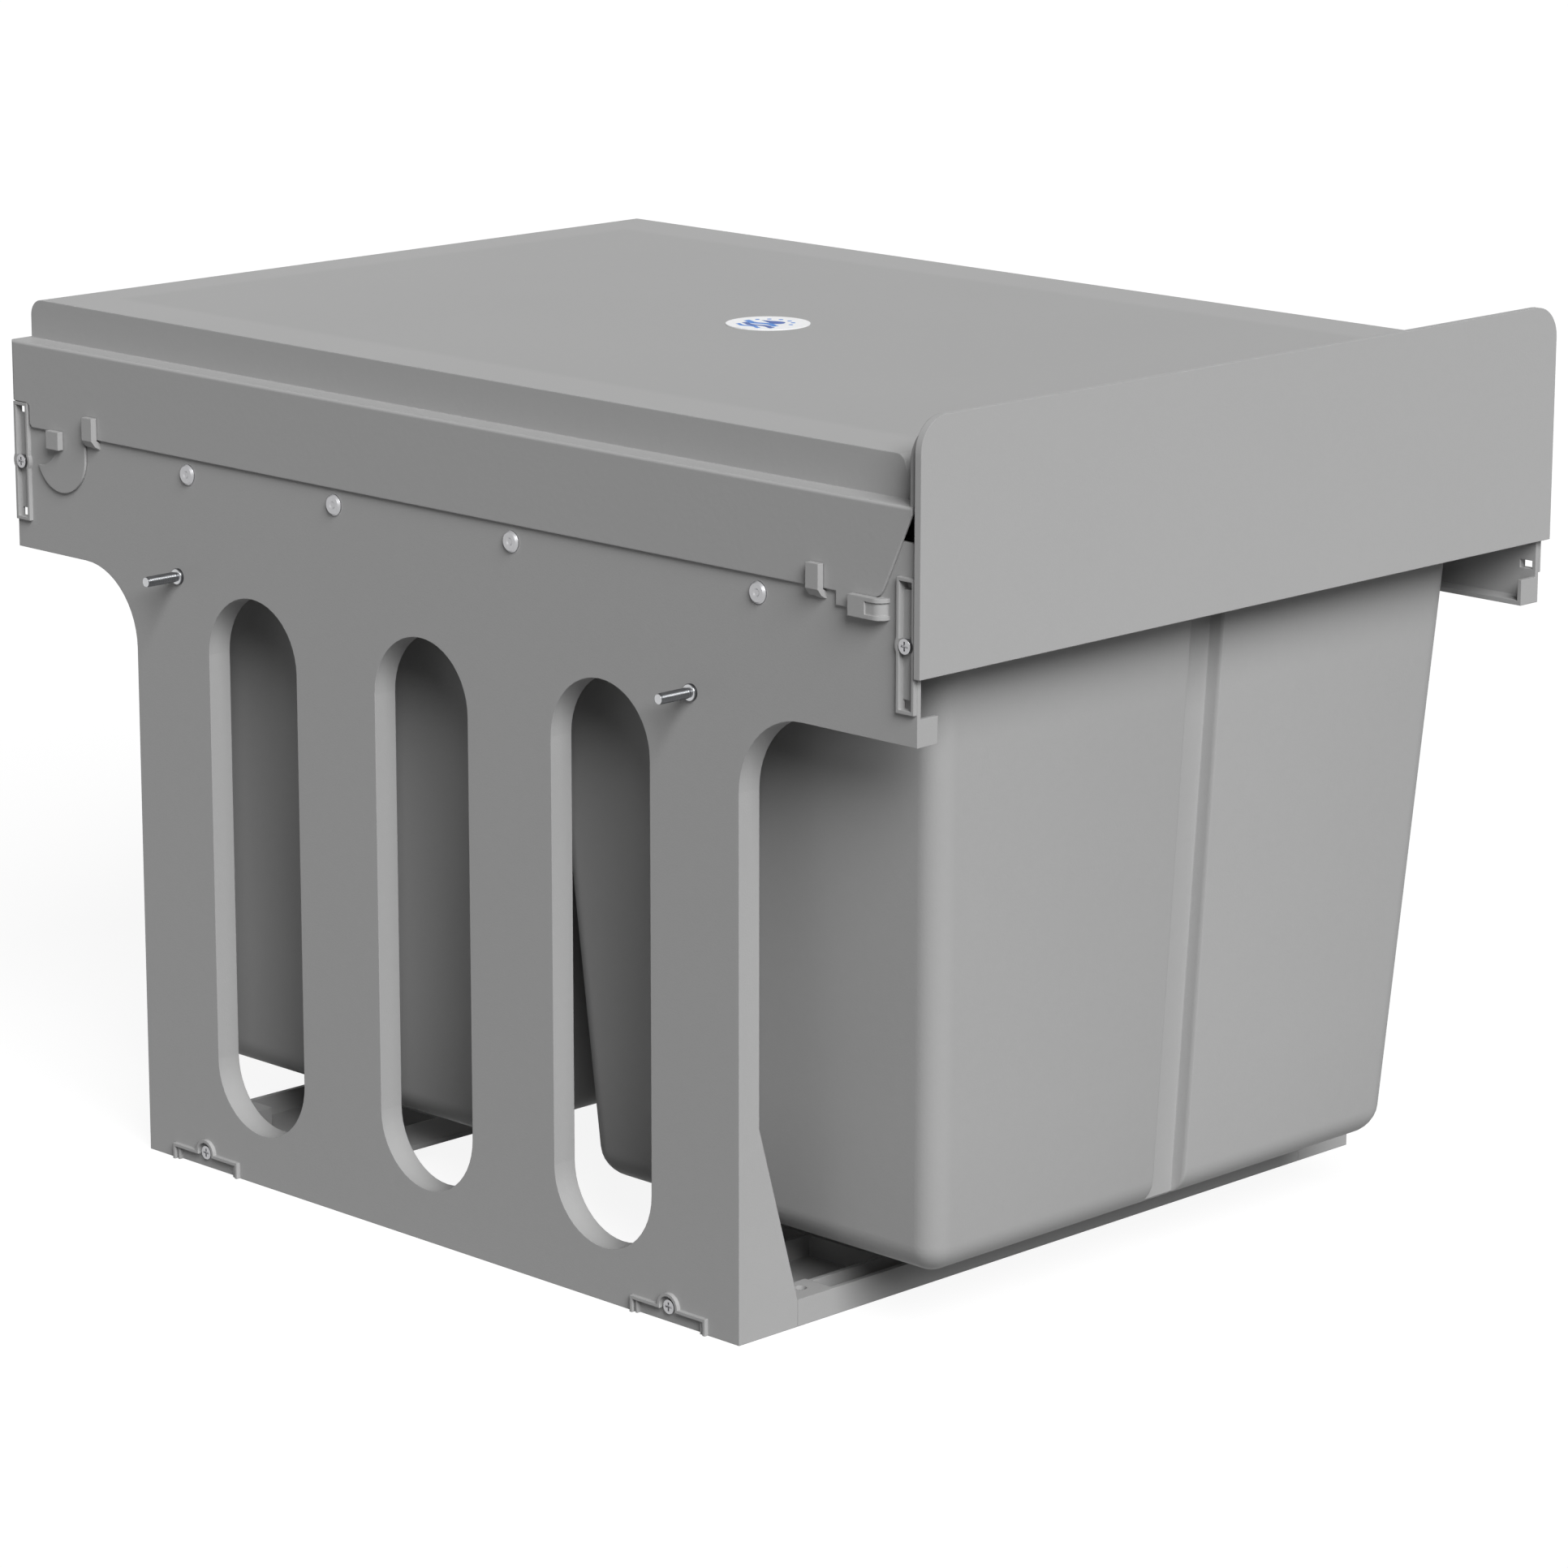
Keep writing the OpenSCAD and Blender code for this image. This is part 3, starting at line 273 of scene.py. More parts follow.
# %% Group: moulded grain
grain_group, given, result = start_group(
    "moulded grain",
    [("Grain", FLOAT, 1400.0), ("Waves", FLOAT, 18.0), ("Wave Share", FLOAT, 0.5)],
    [("Height", FLOAT), ("Tone", FLOAT)],
)
where = object_place(grain_group)
pits = noise(grain_group, where, scale=given["Grain"], detail=2.0)
waves = noise(grain_group, where, scale=given["Waves"], detail=3.0)
wave_height = calculate(grain_group, "MULTIPLY", waves, given["Wave Share"])
height = calculate(grain_group, "ADD", pits, wave_height)
grain_group.links.new(height, result["Height"])
grain_group.links.new(waves, result["Tone"])
print("made group:", grain_group.name)

# %% [markdown]
# ## Colour drift
#
# No painted or moulded part has one even colour. Pigment and light rubbing move it by a percent or
# two over a hand's width. The group multiplies a colour by a factor that swings round one, so the
# middle value stays what the material asks for.

# %% Group: colour drift
drift_group, given, result = start_group(
    "colour drift",
    [("Colour", COLOUR, looks_like(170)), ("Swing", FLOAT, 0.05), ("Tone", FLOAT, 0.5)],
    [("Colour", COLOUR)],
)
specks = noise(drift_group, object_place(drift_group), scale=260.0, detail=4.0)
mixed = calculate(drift_group, "ADD", given["Tone"], specks)
centred = calculate(drift_group, "SUBTRACT", mixed, 1.0)
swing = calculate(drift_group, "MULTIPLY", centred, given["Swing"])
factor = calculate(drift_group, "ADD", swing, 1.0)
scaled = add_node(
    drift_group, "ShaderNodeVectorMath", {0: given["Colour"], "Scale": factor}, operation="SCALE"
)
drift_group.links.new(scaled.outputs["Vector"], result["Colour"])
print("made group:", drift_group.name)

# %% [markdown]
# ## Rounded and rubbed edges
#
# A real edge is never sharp. Moulded plastic has a radius of a little under half a millimetre and
# folded sheet about as much as its own thickness. A Bevel node bends the normal near an edge by a
# real radius. How far it bends it also gives a mask along the edges, by which the finishes paint
# their edges lighter: partly wear where hands and crates rub the finish, partly a painted highlight.
# Its reach says how strongly the mask answers to the bend.

# %% Group: edge rounding, wear and painted highlight
edge_group, given, result = start_group(
    "edge round, wear and highlight",
    [("Radius", FLOAT, 0.4 * MM), ("Reach", FLOAT, 2.0)],
    [("Normal", VECTOR), ("Mask", FLOAT)],
)
rounded = add_node(edge_group, "ShaderNodeBevel", {"Radius": given["Radius"]}, samples=4).outputs["Normal"]
sockets = {0: rounded, 1: plain_normal(edge_group)}
same = add_node(edge_group, "ShaderNodeVectorMath", sockets, operation="DOT_PRODUCT").outputs["Value"]
apart = calculate(edge_group, "SUBTRACT", 1.0, same)
gained = calculate(edge_group, "MULTIPLY", apart, given["Reach"], clamp=True)
edge_group.links.new(rounded, result["Normal"])
edge_group.links.new(gained, result["Mask"])
print("made group:", edge_group.name)

# %% [markdown]
# ## Drawn lines
#
# Rails are rolled from strip and screws are turned, so their plating carries fine lines along one
# direction. A noise texture that is squeezed across and stretched along that direction gives such
# lines. The stretch is an input, because the rails' lines run along the depth, while small turned
# parts look even.

# %% Group: drawn lines
lines_group, given, result = start_group(
    "drawn lines",
    [("Across", VECTOR, (900.0, 12.0, 900.0))],
    [("Height", FLOAT), ("Tone", FLOAT)],
)
place = object_place(lines_group)
sockets = {0: place, 1: given["Across"]}
pulled = add_node(lines_group, "ShaderNodeVectorMath", sockets, operation="MULTIPLY").outputs["Vector"]
strokes = noise(lines_group, pulled, scale=1.0, detail=3.0)
clouds = noise(lines_group, place, scale=90.0, detail=2.0)
lines_group.links.new(strokes, result["Height"])
lines_group.links.new(clouds, result["Tone"])
print("made group:", lines_group.name)

# %% [markdown]
# ## Settled dust
#
# A unit that has stood in a warehouse has a breath of dust on whatever faces up. The mask is the
# upward part of the normal, broken up by noise. It is kept low here, because the photographed unit
# is new.

# %% Group: settled dust
DUST_TONE, DUST_ROUGHENS = looks_like(196, 194, 190), 0.3
dust_group, given, result = start_group(
    "settled dust",
    [("Colour", COLOUR, looks_like(170)), ("Rough", FLOAT, 0.5), ("Amount", FLOAT, 0.1)],
    [("Colour", COLOUR), ("Rough", FLOAT)],
)
fluff = noise(dust_group, object_place(dust_group), scale=45.0, detail=6.0)
upward = calculate(dust_group, "MULTIPLY", normal_along(dust_group, "Z"), fluff, clamp=True)
cover = calculate(dust_group, "MULTIPLY", upward, given["Amount"], clamp=True)
dusty = lay_over(dust_group, cover, given["Colour"], DUST_TONE)
rougher = calculate(dust_group, "MULTIPLY_ADD", cover, DUST_ROUGHENS, given["Rough"])
dust_group.links.new(dusty, result["Colour"])
dust_group.links.new(rougher, result["Rough"])
print("made group:", dust_group.name)

# %% [markdown]
# ## Grey moulded plastic
#
# The side panels, the base tray and the front panel are moulded from the same grey plastic. It is
# matt, so most of its look is plain diffuse colour, with a broad weak shine. The finish chains the
# groups: grain makes the height, drift moves the colour, the edge group rounds edges and paints them
# lighter, partly as wear and partly as a painted highlight, and dust comes last because it lies on
# top of everything. One function makes all plastics, since they differ only in tone, roughness,
# grain and shine.

# %% Finish: moulded plastic
def moulded_plastic(title, tone, rough, grain, swing, dust, shine):
    material, tree, shader = start_finish(title)
    grained = place_group(tree, grain_group, Grain=grain, Waves=14.0, Wave_Share=0.6)
    edges = place_group(tree, edge_group, Radius=0.4 * MM, Reach=1.6)
    drifted = place_group(tree, drift_group, Colour=looks_like(*tone), Swing=swing, Tone=grained["Tone"])
    # Edges are painted lighter: partly wear, partly a painted highlight.
    worn_and_lit_edges = lay_over(tree, edges["Mask"], drifted["Colour"], lighter(tone, gain=9))
    matt = in_range(tree, grained["Height"], low=rough - 0.05, high=rough + 0.07)
    dusted = place_group(tree, dust_group, Colour=worn_and_lit_edges, Rough=matt, Amount=dust)
    pitted = bump(tree, grained["Height"], strength=0.22, step=0.2 * MM, normal=edges["Normal"])
    feed(tree, shader, dusted["Colour"], dusted["Rough"], pitted)
    shader.inputs["Specular IOR Level"].default_value = shine
    return material


panel_finish = moulded_plastic(
    "panel plastic", tone=(170, 170, 170), rough=0.56, grain=1500.0, swing=0.03, dust=0.05, shine=0.22
)
front_finish = moulded_plastic(
    "front panel plastic", tone=(171, 171, 171), rough=0.5, grain=1700.0, swing=0.025, dust=0.0, shine=0.22
)
bin_finish = moulded_plastic(
    "bin plastic", tone=(170, 170, 170), rough=0.5, grain=1100.0, swing=0.035, dust=0.03, shine=0.1
)
print("plastics:", panel_finish.name, front_finish.name, bin_finish.name)

# %% [markdown]
# ## Powder coated sheet
#
# The lid and the bin frame are thin steel with a baked powder coat. Powder melts into a skin with a
# soft dimpled look, like orange peel, about two millimetres from dimple to dimple, and it is a
# little glossier than the moulded plastic. Smooth noise with little fine detail gives the dimples.
# Near the edges of the lid's top, a border one finger wide is a touch paler: painted light, where
# the top gets a little more light near its edges. It is found as the distance from a rectangle in
# the lid's plane, with a soft step at the border.

# %% Finish: powder coat
def lit_border_mask(tree, half_w, rear_y, inner):
    """One on faces that look up outside a rectangle that ends this far inside the sheet's edges."""
    spot = add_node(tree, "ShaderNodeSeparateXYZ", {0: object_place(tree)}).outputs
    aside = calculate(tree, "SUBTRACT", calculate(tree, "ABSOLUTE", spot["X"]), half_w - inner)
    behind = calculate(tree, "SUBTRACT", spot["Y"], rear_y - inner)
    outside = calculate(tree, "MAXIMUM", aside, behind)
    soft = soft_step(tree, outside, start=-2.0 * MM, end=4.0 * MM)
    return calculate(tree, "MULTIPLY", soft, normal_along(tree, "Z"), clamp=True)


def powder_coat(title, tone, rough, dust, shine, border=None, edge_gain=10):
    material, tree, shader = start_finish(title)
    peel = place_group(tree, grain_group, Grain=520.0, Waves=11.0, Wave_Share=0.4)
    edges = place_group(tree, edge_group, Radius=0.6 * MM, Reach=1.4)
    drifted = place_group(tree, drift_group, Colour=looks_like(*tone), Swing=0.022, Tone=peel["Tone"])
    coat = drifted["Colour"]
    # Painted light: the border of the lid's top is painted 5 levels paler.
    if border:
        coat = lay_over(tree, lit_border_mask(tree, *border), coat, lighter(tone, gain=5))
    # Edges are painted lighter: partly wear, partly a painted highlight.
    worn_and_lit_edges = lay_over(tree, edges["Mask"], coat, lighter(tone, gain=edge_gain))
    sheen = in_range(tree, peel["Tone"], low=rough - 0.04, high=rough + 0.06)
    dusted = place_group(tree, dust_group, Colour=worn_and_lit_edges, Rough=sheen, Amount=dust)
    dimples = bump(tree, peel["Height"], strength=0.18, step=0.25 * MM, normal=edges["Normal"])
    feed(tree, shader, dusted["Colour"], dusted["Rough"], dimples)
    shader.inputs["Specular IOR Level"].default_value = shine
    return material


LID_HALF_W, LID_REAR, LID_BORDER = 159.3 * MM, 241.5 * MM, 26.0 * MM
# The lid's edges get a painted highlight 40 levels lighter, and its top a painted light border.
lid_finish = powder_coat(
    "lid powder coat", tone=(173, 173, 173), rough=0.54, dust=0.03, shine=0.06,
    border=(LID_HALF_W, LID_REAR, LID_BORDER), edge_gain=40,
)
frame_finish = powder_coat("frame powder coat", tone=(160, 160, 161), rough=0.42, dust=0.05, shine=0.3)
print("coats:", lid_finish.name, frame_finish.name)

# %% [markdown]
# ## Plated steel
#
# Rails, cages, rivets and screws are zinc plated. Zinc is a bright bluish metal with clouds of
# slightly different gloss, and the strip under it shows its rolling lines. A metal has no diffuse
# colour, so its look comes from what it mirrors, and its roughness matters most. The lines' stretch
# is given for each piece: along the depth for rails, even for small turned parts. The studs get a
# dark tone as a painted reflection, and a face that looks along X can be given a light tone of its
# own, a painted highlight on the studs' ends.

# %% Finish: plated steel
def plated_steel(title, tone, rough, across, line_depth, lit_end_tone=None):
    material, tree, shader = start_finish(title)
    drawn = place_group(tree, lines_group, Across=across)
    edges = place_group(tree, edge_group, Radius=0.25 * MM, Reach=1.5)
    drifted = place_group(tree, drift_group, Colour=looks_like(*tone), Swing=0.12, Tone=drawn["Tone"])
    plating = drifted["Colour"]
    # Painted highlight: faces that look along X, the studs' ends, get a light tone of their own.
    if lit_end_tone:
        facing_x = calculate(tree, "ABSOLUTE", normal_along(tree, "X"))
        lit_end_mask = soft_step(tree, facing_x, start=0.55, end=0.9)
        plating = lay_over(tree, lit_end_mask, plating, looks_like(*lit_end_tone))
    # Edges are painted lighter: partly wear, partly a painted highlight.
    bright = lay_over(tree, edges["Mask"], plating, lighter(tone, gain=16))
    cloudy = in_range(tree, drawn["Tone"], low=rough - 0.08, high=rough + 0.1)
    scratches = bump(tree, drawn["Height"], strength=line_depth, step=0.1 * MM, normal=edges["Normal"])
    feed(tree, shader, bright, cloudy, scratches)
    shader.inputs["Metallic"].default_value = 1.0
    return material


ALONG_DEPTH = (1400.0, 8.0, 1400.0)
EVEN = (700.0, 700.0, 700.0)
rail_finish = plated_steel("rail zinc", (176, 178, 182), rough=0.38, across=ALONG_DEPTH, line_depth=0.25)
cage_finish = plated_steel("cage zinc", (176, 178, 181), rough=0.3, across=ALONG_DEPTH, line_depth=0.15)
fastener_finish = plated_steel("fastener zinc", (176, 176, 178), rough=0.36, across=EVEN, line_depth=0.3)
# The studs' dark tone is a painted reflection, and their light end tone a painted highlight.
stud_finish = plated_steel(
    "stud zinc", (104, 105, 107), rough=0.22, across=EVEN, line_depth=0.1, lit_end_tone=(190, 191, 193)
)
print("metals:", rail_finish.name, cage_finish.name, fastener_finish.name, stud_finish.name)

# %% [markdown]
# ## The label's film and ink
#
# A round label of white film lies on the lid. Film is smoother than the coat under it and has a
# faint waviness from the glue. The print on it is a plain design in two blue inks. Each
# ink is a separate thin layer, so its edge is crisp and it catches the light a little differently.

# %% Finish: label film and ink
def thin_film(title, tone, rough):
    material, tree, shader = start_finish(title)
    wavy = place_group(tree, grain_group, Grain=700.0, Waves=60.0, Wave_Share=2.0)
    drifted = place_group(tree, drift_group, Colour=looks_like(*tone), Swing=0.015, Tone=wavy["Tone"])
    glossy = in_range(tree, wavy["Tone"], low=rough - 0.04, high=rough + 0.05)
    glued = bump(tree, wavy["Height"], strength=0.1, step=0.1 * MM)
    feed(tree, shader, drifted["Colour"], glossy, glued)
    return material


label_finish = thin_film("label film", tone=(246, 247, 249), rough=0.3)
ink_finish = thin_film("blue ink", tone=(40, 124, 208), rough=0.5)
dark_ink_finish = thin_film("dark blue ink", tone=(10, 74, 158), rough=0.5)
print("films:", label_finish.name, ink_finish.name, dark_ink_finish.name)

# %% [markdown]
# ## Dressing the measured solids
#
# The rigid solids already have the right shapes, so they keep their meshes and only get a finish
# in their material slots.

# %% Assign finishes to the solids
def both_sides(*names):
    return [f"{name}_{side}" for name in names for side in ("left", "right")]


DRESS = {
    panel_finish: ["base_tray", *both_sides("side_panel")],
    front_finish: ["front_panel"],
    lid_finish: ["lid"],
    frame_finish: ["bin_frame"],
    label_finish: ["round_label"],
    cage_finish: both_sides("outer_cage", "inner_cage"),
    rail_finish: both_sides("outer_rail", "middle_rail", "inner_rail"),
    fastener_finish: ["rail_rivets", "channel_screws", "clip_screws", "front_panel_screws", "frame_rivets"],
}
for finish, pieces in DRESS.items():
    for piece in pieces:
        for material_slot in solids[piece].material_slots:
            material_slot.material = finish
print("dressed solids:", sum(len(p) for p in DRESS.values()))

# %% [markdown]
# ## From rings to a mesh
#
# Several pieces are lofts: closed rings of points with the same count, joined ring to ring. One
# helper turns a list of rings into a mesh and closes its ends. It marks edges as sharp where
# faces meet at a large angle, so that flat walls stay flat and round corners look round.

# %% Helper: loft rings into a piece
def loft(title, rings, finish, body, sharp_angle=38.0):
    count = len(rings[0])
    shape = bmesh.new()
    grid = [[shape.verts.new(p) for p in ring] for ring in rings]
    for low, high in zip(grid, grid[1:]):
        for i in range(count):
            j = (i + 1) % count
            shape.faces.new((low[i], low[j], high[j], high[i]))
    shape.faces.new(list(reversed(grid[0])))
    shape.faces.new(grid[-1])
    bmesh.ops.recalc_face_normals(shape, faces=shape.faces)
    mesh = bpy.data.meshes.new(title)
    shape.to_mesh(mesh)
    shape.free()
    mesh.shade_smooth()
    mesh.set_sharp_from_angle(angle=math.radians(sharp_angle))
    mesh.materials.append(finish)
    piece = bpy.data.objects.new(title, mesh)
    bpy.context.scene.collection.objects.link(piece)
    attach(piece, body)
    return piece


print("loft helper is ready")

# %% [markdown]
# ## The bins
#
# Each bin is one moulded shell: a bucket whose walls draw in towards a rounded floor, a rolled rim
# that hangs on the frame, and one upright groove in the front wall that stiffens it. The solid has
# flat facets at its round corners. A loft with closely spaced rings follows the same sizes with
# smooth corners. The groove is part of every ring: its points sink into the front wall by a depth
# that is full along the wall and fades out at the groove's top and round the floor's edge. This
# cell makes one ring.

# %% One ring of a bin
WALL = 2.0 * MM
CORNER, SMALLEST_CORNER, FLOOR_EDGE = 9.5 * MM, 0.5 * MM, 11.5 * MM
GROOVE_W, GROOVE_D = 17.2 * MM, 6.0 * MM
# Millimetres inward from the groove's edge, and the share of its depth that is reached there.
GROOVE_SIDE = ((-1.2, 0.0), (-0.5, 0.03), (-0.1, 0.12), (0.1, 0.3), (0.4, 0.9), (0.6, 0.98), (1.2, 1.0))
ARC_STEPS, WALL_STEPS = 8, 6


def bin_ring(half_w, half_l, radius, sink, groove_half, centre_y, z):
    """One level of the bin: a rounded rectangle whose front side dips into the groove by sink."""
    marks = [(inward * MM - groove_half, share) for inward, share in GROOVE_SIDE]
    marks += [(-x, share) for x, share in reversed(marks)]
    points = [Vector((x, centre_y - half_l + sink * share, z)) for x, share in marks]
    for cx, cy, start in (
        (half_w - radius, radius - half_l, -90), (half_w - radius, half_l - radius, 0),
        (radius - half_w, half_l - radius, 90), (radius - half_w, radius - half_l, 180),
    ):
        for k in range(ARC_STEPS + 1):
            a = math.radians(start + 90 * k / ARC_STEPS)
            points.append(Vector((cx + radius * math.cos(a), centre_y + cy + radius * math.sin(a), z)))
    return points


print("points in a ring:", len(bin_ring(0.1, 0.1, CORNER, GROOVE_D, GROOVE_W / 2, 0.0, 0.0)))

# %% [markdown]
# ## From the floor over the rim and back
#
# The rings are stacked in the order in which a finger would run over the wall: round the floor's
# edge, up the outside, over the rolled rim, and down the inside to the inner floor. The walls draw
# in towards the floor, so each ring's size follows from its height. Each new shell takes the place
# of the measured bin and rides on the carriage with it.

# %% Stack the rings and loft both bins
TAPER_W, TAPER_L = 17.8 * MM, 17.6 * MM
RIM_OUT, RIM_H = 6.0 * MM, 7.0 * MM
RIM_ROUNDING = ((1.2 * MM, 0.0), (0.4 * MM, 0.3 * MM), (0.0, 1.1 * MM))  # down and in from its corner
MOUTH_IN, MOUTH_DOWN = 0.5 * MM, 0.6 * MM
GROOVE_TOP_GAP, GROOVE_FADE = 14.0 * MM, 1.2 * MM


def bin_rings(node):
    low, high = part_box(node)
    centre_y = (low.y + high.y) / 2
    top, floor = high.z, low.z
    top_w, top_l = (high.x - low.x) / 2 - RIM_OUT, (high.y - low.y) / 2 - RIM_OUT
    rings = []

    def add_ring(z, inset=0.0, shrink=0.0, groove_share=1.0):
        """A level of the wall, moved in by inset and, round the floor's edge, by shrink."""
        share = (top - z) / (top - floor)
        edge = inset + shrink
        radius = max(CORNER - inset - shrink * CORNER / FLOOR_EDGE, SMALLEST_CORNER)
        half_w, half_l = top_w - TAPER_W * share - edge, top_l - TAPER_L * share - edge
        sink = max(0.0, GROOVE_D - shrink) * groove_share
        rings.append(bin_ring(half_w, half_l, radius, sink, GROOVE_W / 2 + inset, centre_y, z))

    def add_floor_edge(bottom, radius, inset, order):
        for k in order:
            a = math.radians(90 * k / ARC_STEPS)
            add_ring(bottom + radius * (1 - math.cos(a)), inset, radius * (1 - math.sin(a)))

    def add_wall(start, end, inset):
        for k in range(1, WALL_STEPS + 1):
            add_ring(start + (end - start) * k / WALL_STEPS, inset)

    groove_end = top - GROOVE_TOP_GAP
    add_floor_edge(floor, FLOOR_EDGE, 0.0, range(ARC_STEPS + 1))
    add_wall(floor + FLOOR_EDGE, groove_end, 0.0)
    add_ring(groove_end + GROOVE_FADE / 2, groove_share=0.6)
    add_ring(groove_end + GROOVE_FADE, groove_share=0.0)
    inner_out = RIM_OUT - WALL
    rim = [(top - WALL, 0.0), (top - WALL, inner_out), (top - RIM_H, inner_out), (top - RIM_H, RIM_OUT)]
    rim += [(top - down, RIM_OUT - inward) for down, inward in RIM_ROUNDING]
    rim.append((top, MOUTH_IN - WALL))
    for z, out in rim:
        rings.append(bin_ring(top_w + out, top_l + out, CORNER + out, 0.0, GROOVE_W / 2, centre_y, z))
    add_ring(top - MOUTH_DOWN, WALL, groove_share=0.0)
    add_ring(groove_end + 2 * WALL, WALL, groove_share=0.0)
    add_ring(groove_end + 0.5 * WALL, WALL)
    add_wall(groove_end, floor + FLOOR_EDGE, WALL)
    add_floor_edge(floor + WALL, FLOOR_EDGE - WALL, WALL, range(ARC_STEPS - 1, -1, -1))
    return rings


for node in ("front_bin", "rear_bin"):
    shell = loft(node + "_shell", bin_rings(node), bin_finish, "carriage")
    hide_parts(node)
    print(shell.name, "faces:", len(shell.data.polygons))

# %% [markdown]
# ## The tray's last row of cells
#
# The base tray is a ring of shallow troughs. Behind the front trough the photograph shows one more
# dark row under the bin. It is a thin floor with a low wall at its rear and two ribs across. One
# outline along X goes up and down over walls, ribs and hollows, and it is pushed along the depth.

# %% Row of cells behind the front trough
TRAY_H, TRAY_WALL, RIB_PITCH = 10.0 * MM, 2.0 * MM, 82.0 * MM
ROW_HALF, ROW_FRONT, ROW_L = 137.6 * MM, -105.05 * MM, 21.3 * MM


def row_outline():
    """The row's section along X: high at the walls and ribs, low in the cells between them."""
    steps = [(-ROW_HALF, TRAY_H), (-ROW_HALF + TRAY_WALL, TRAY_H)]
    for rib in (-RIB_PITCH, 0.0, RIB_PITCH):
        near, far = rib - TRAY_WALL / 2, rib + TRAY_WALL / 2
        steps += [(steps[-1][0], TRAY_WALL), (near, TRAY_WALL), (near, TRAY_H), (far, TRAY_H)]
    steps += [(steps[-1][0], TRAY_WALL), (ROW_HALF - TRAY_WALL, TRAY_WALL)]
    steps += [(ROW_HALF - TRAY_WALL, TRAY_H), (ROW_HALF, TRAY_H)]
    return steps + [(ROW_HALF, 0.0), (-ROW_HALF, 0.0)]


def row_rings():
    """Two levels of the open cells, then two of the rear wall, whose outline is closed at the top."""
    open_cells = row_outline()
    walled = [(x, TRAY_H if z > 0 else 0.0) for x, z in open_cells]
    wall_y = ROW_FRONT + ROW_L - TRAY_WALL
    levels = [(ROW_FRONT, open_cells), (wall_y, open_cells), (wall_y, walled), (ROW_FRONT + ROW_L, walled)]
    return [[Vector((x, y, z)) for x, z in outline] for y, outline in levels]


tray_row = loft("tray_rear_cells", row_rings(), panel_finish, "housing")
print("tray row faces:", len(tray_row.data.polygons))

# %% [markdown]
# ## The threaded studs
#
# Four short studs stand out of the side panels and are turned out until they press on the cabinet.
# They show one bright streak on a dark tone, which is a painted reflection, and a fine thread breaks
# it up. A thread is a ridge that climbs one pitch a turn. Here the radius of each point depends on
# how far along it is and how far round, so the ridge winds as one helix, and the end is chamfered as
# a real stud's is.

# %% Threaded studs
STUD_R, THREAD_DEPTH, PITCH = 2.0 * MM, 0.2 * MM, 0.7 * MM
THREAD_GAP, THREAD_FADE = 0.3 * MM, 1.2 * PITCH
RIDGE_SLOPE = 1.35  # above 1 the ridge has a flat crest
COLLAR_R, COLLAR_T = 3.1 * MM, 1.6 * MM
COLLAR_CHAMFER, COLLAR_FOOT = 0.35 * MM, 0.1 * MM
TIP_CHAMFER, TIP_R = 0.1 * MM, STUD_R - 2.4 * THREAD_DEPTH
AROUND, STEPS_A_TURN = 28, 7


def ridge_share(x, i):
    """How high the thread's ridge stands, 0 to 1, at this reach and this point of the ring."""
    phase = (x / PITCH - i / AROUND) % 1.0
    return min(1.0, RIDGE_SLOPE * (1.0 - abs(2 * phase - 1)))


def stud_rings(side, y, z, start, face, tip):
    """Rings along X from inside the panel, over the collar and the thread, to the chamfered tip."""
    def ring_at(x, radii):
        ring = []
        for i, radius in enumerate(radii):
            a = math.tau * i / AROUND
            ring.append(Vector((side * x, y + radius * math.cos(a), z + side * radius * math.sin(a))))
        return ring

    collar_end = face + COLLAR_T
    profile = [
        (start, STUD_R), (face, STUD_R), (face, COLLAR_R - COLLAR_CHAMFER), (face + COLLAR_FOOT, COLLAR_R),
        (collar_end - COLLAR_CHAMFER, COLLAR_R), (collar_end, COLLAR_R - COLLAR_CHAMFER),
        (collar_end, STUD_R - THREAD_DEPTH),
    ]
    rings = [ring_at(x, [radius] * AROUND) for x, radius in profile]
    thread_start, thread_end = collar_end + THREAD_GAP, tip - TIP_CHAMFER
    steps = int((thread_end - thread_start) / (PITCH / STEPS_A_TURN))
    for k in range(steps + 1):
        x = thread_start + (thread_end - thread_start) * k / steps
        fade = max(0.0, min(1.0, (x - thread_start) / PITCH, (thread_end - x) / THREAD_FADE))
        radii = [STUD_R - THREAD_DEPTH * (1 - ridge_share(x, i) * fade) for i in range(AROUND)]
        rings.append(ring_at(x, radii))
    rings.append(ring_at(tip, [TIP_R] * AROUND))
    return rings


PANEL_FACE, PANEL_WALL = 167.5 * MM, 1.7 * MM
stud_low, stud_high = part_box("spacer_studs")
stud_z = (stud_low.z + stud_high.z) / 2
stud_spots = [(side, y) for side in (-1, 1) for y in (stud_low.y + COLLAR_R, stud_high.y - COLLAR_R)]
studs = []
for side, y in stud_spots:
    rings = stud_rings(side, y, stud_z, PANEL_FACE - PANEL_WALL, PANEL_FACE, stud_high.x)
    title = f"threaded_stud_{len(studs) + 1}"
    studs.append(loft(title, rings, stud_finish, "housing", sharp_angle=50.0))
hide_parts("spacer_studs")
print("studs:", len(studs), "faces each:", len(studs[0].data.polygons))

# %% [markdown]
# ## The print on the label
#
# The design is a drop beside waves with a bow of dots, which belongs to nobody. Its dark and pale
# blue have the scale of a print on such a label, and its waves run along the depth. Each shape is a
# plain outline in the label's plane, in millimetres from the label's middle.

# %% Label print
DROP_STEPS, DOT_STEPS, WAVE_STEPS = 24, 20, 24
BOW_R, DOT_R = 9.5, 0.9


def drop_outline(cx, cy, radius, length):
    """A drop that points to -X: a round back and two sides that meet in a tip."""
    points = []
    for k in range(DROP_STEPS + 1):
        a = math.radians(-120 + 240 * k / DROP_STEPS)
        points.append((cx + radius * math.cos(a), cy + radius * math.sin(a)))
    points.append((cx - length, cy))
    return points


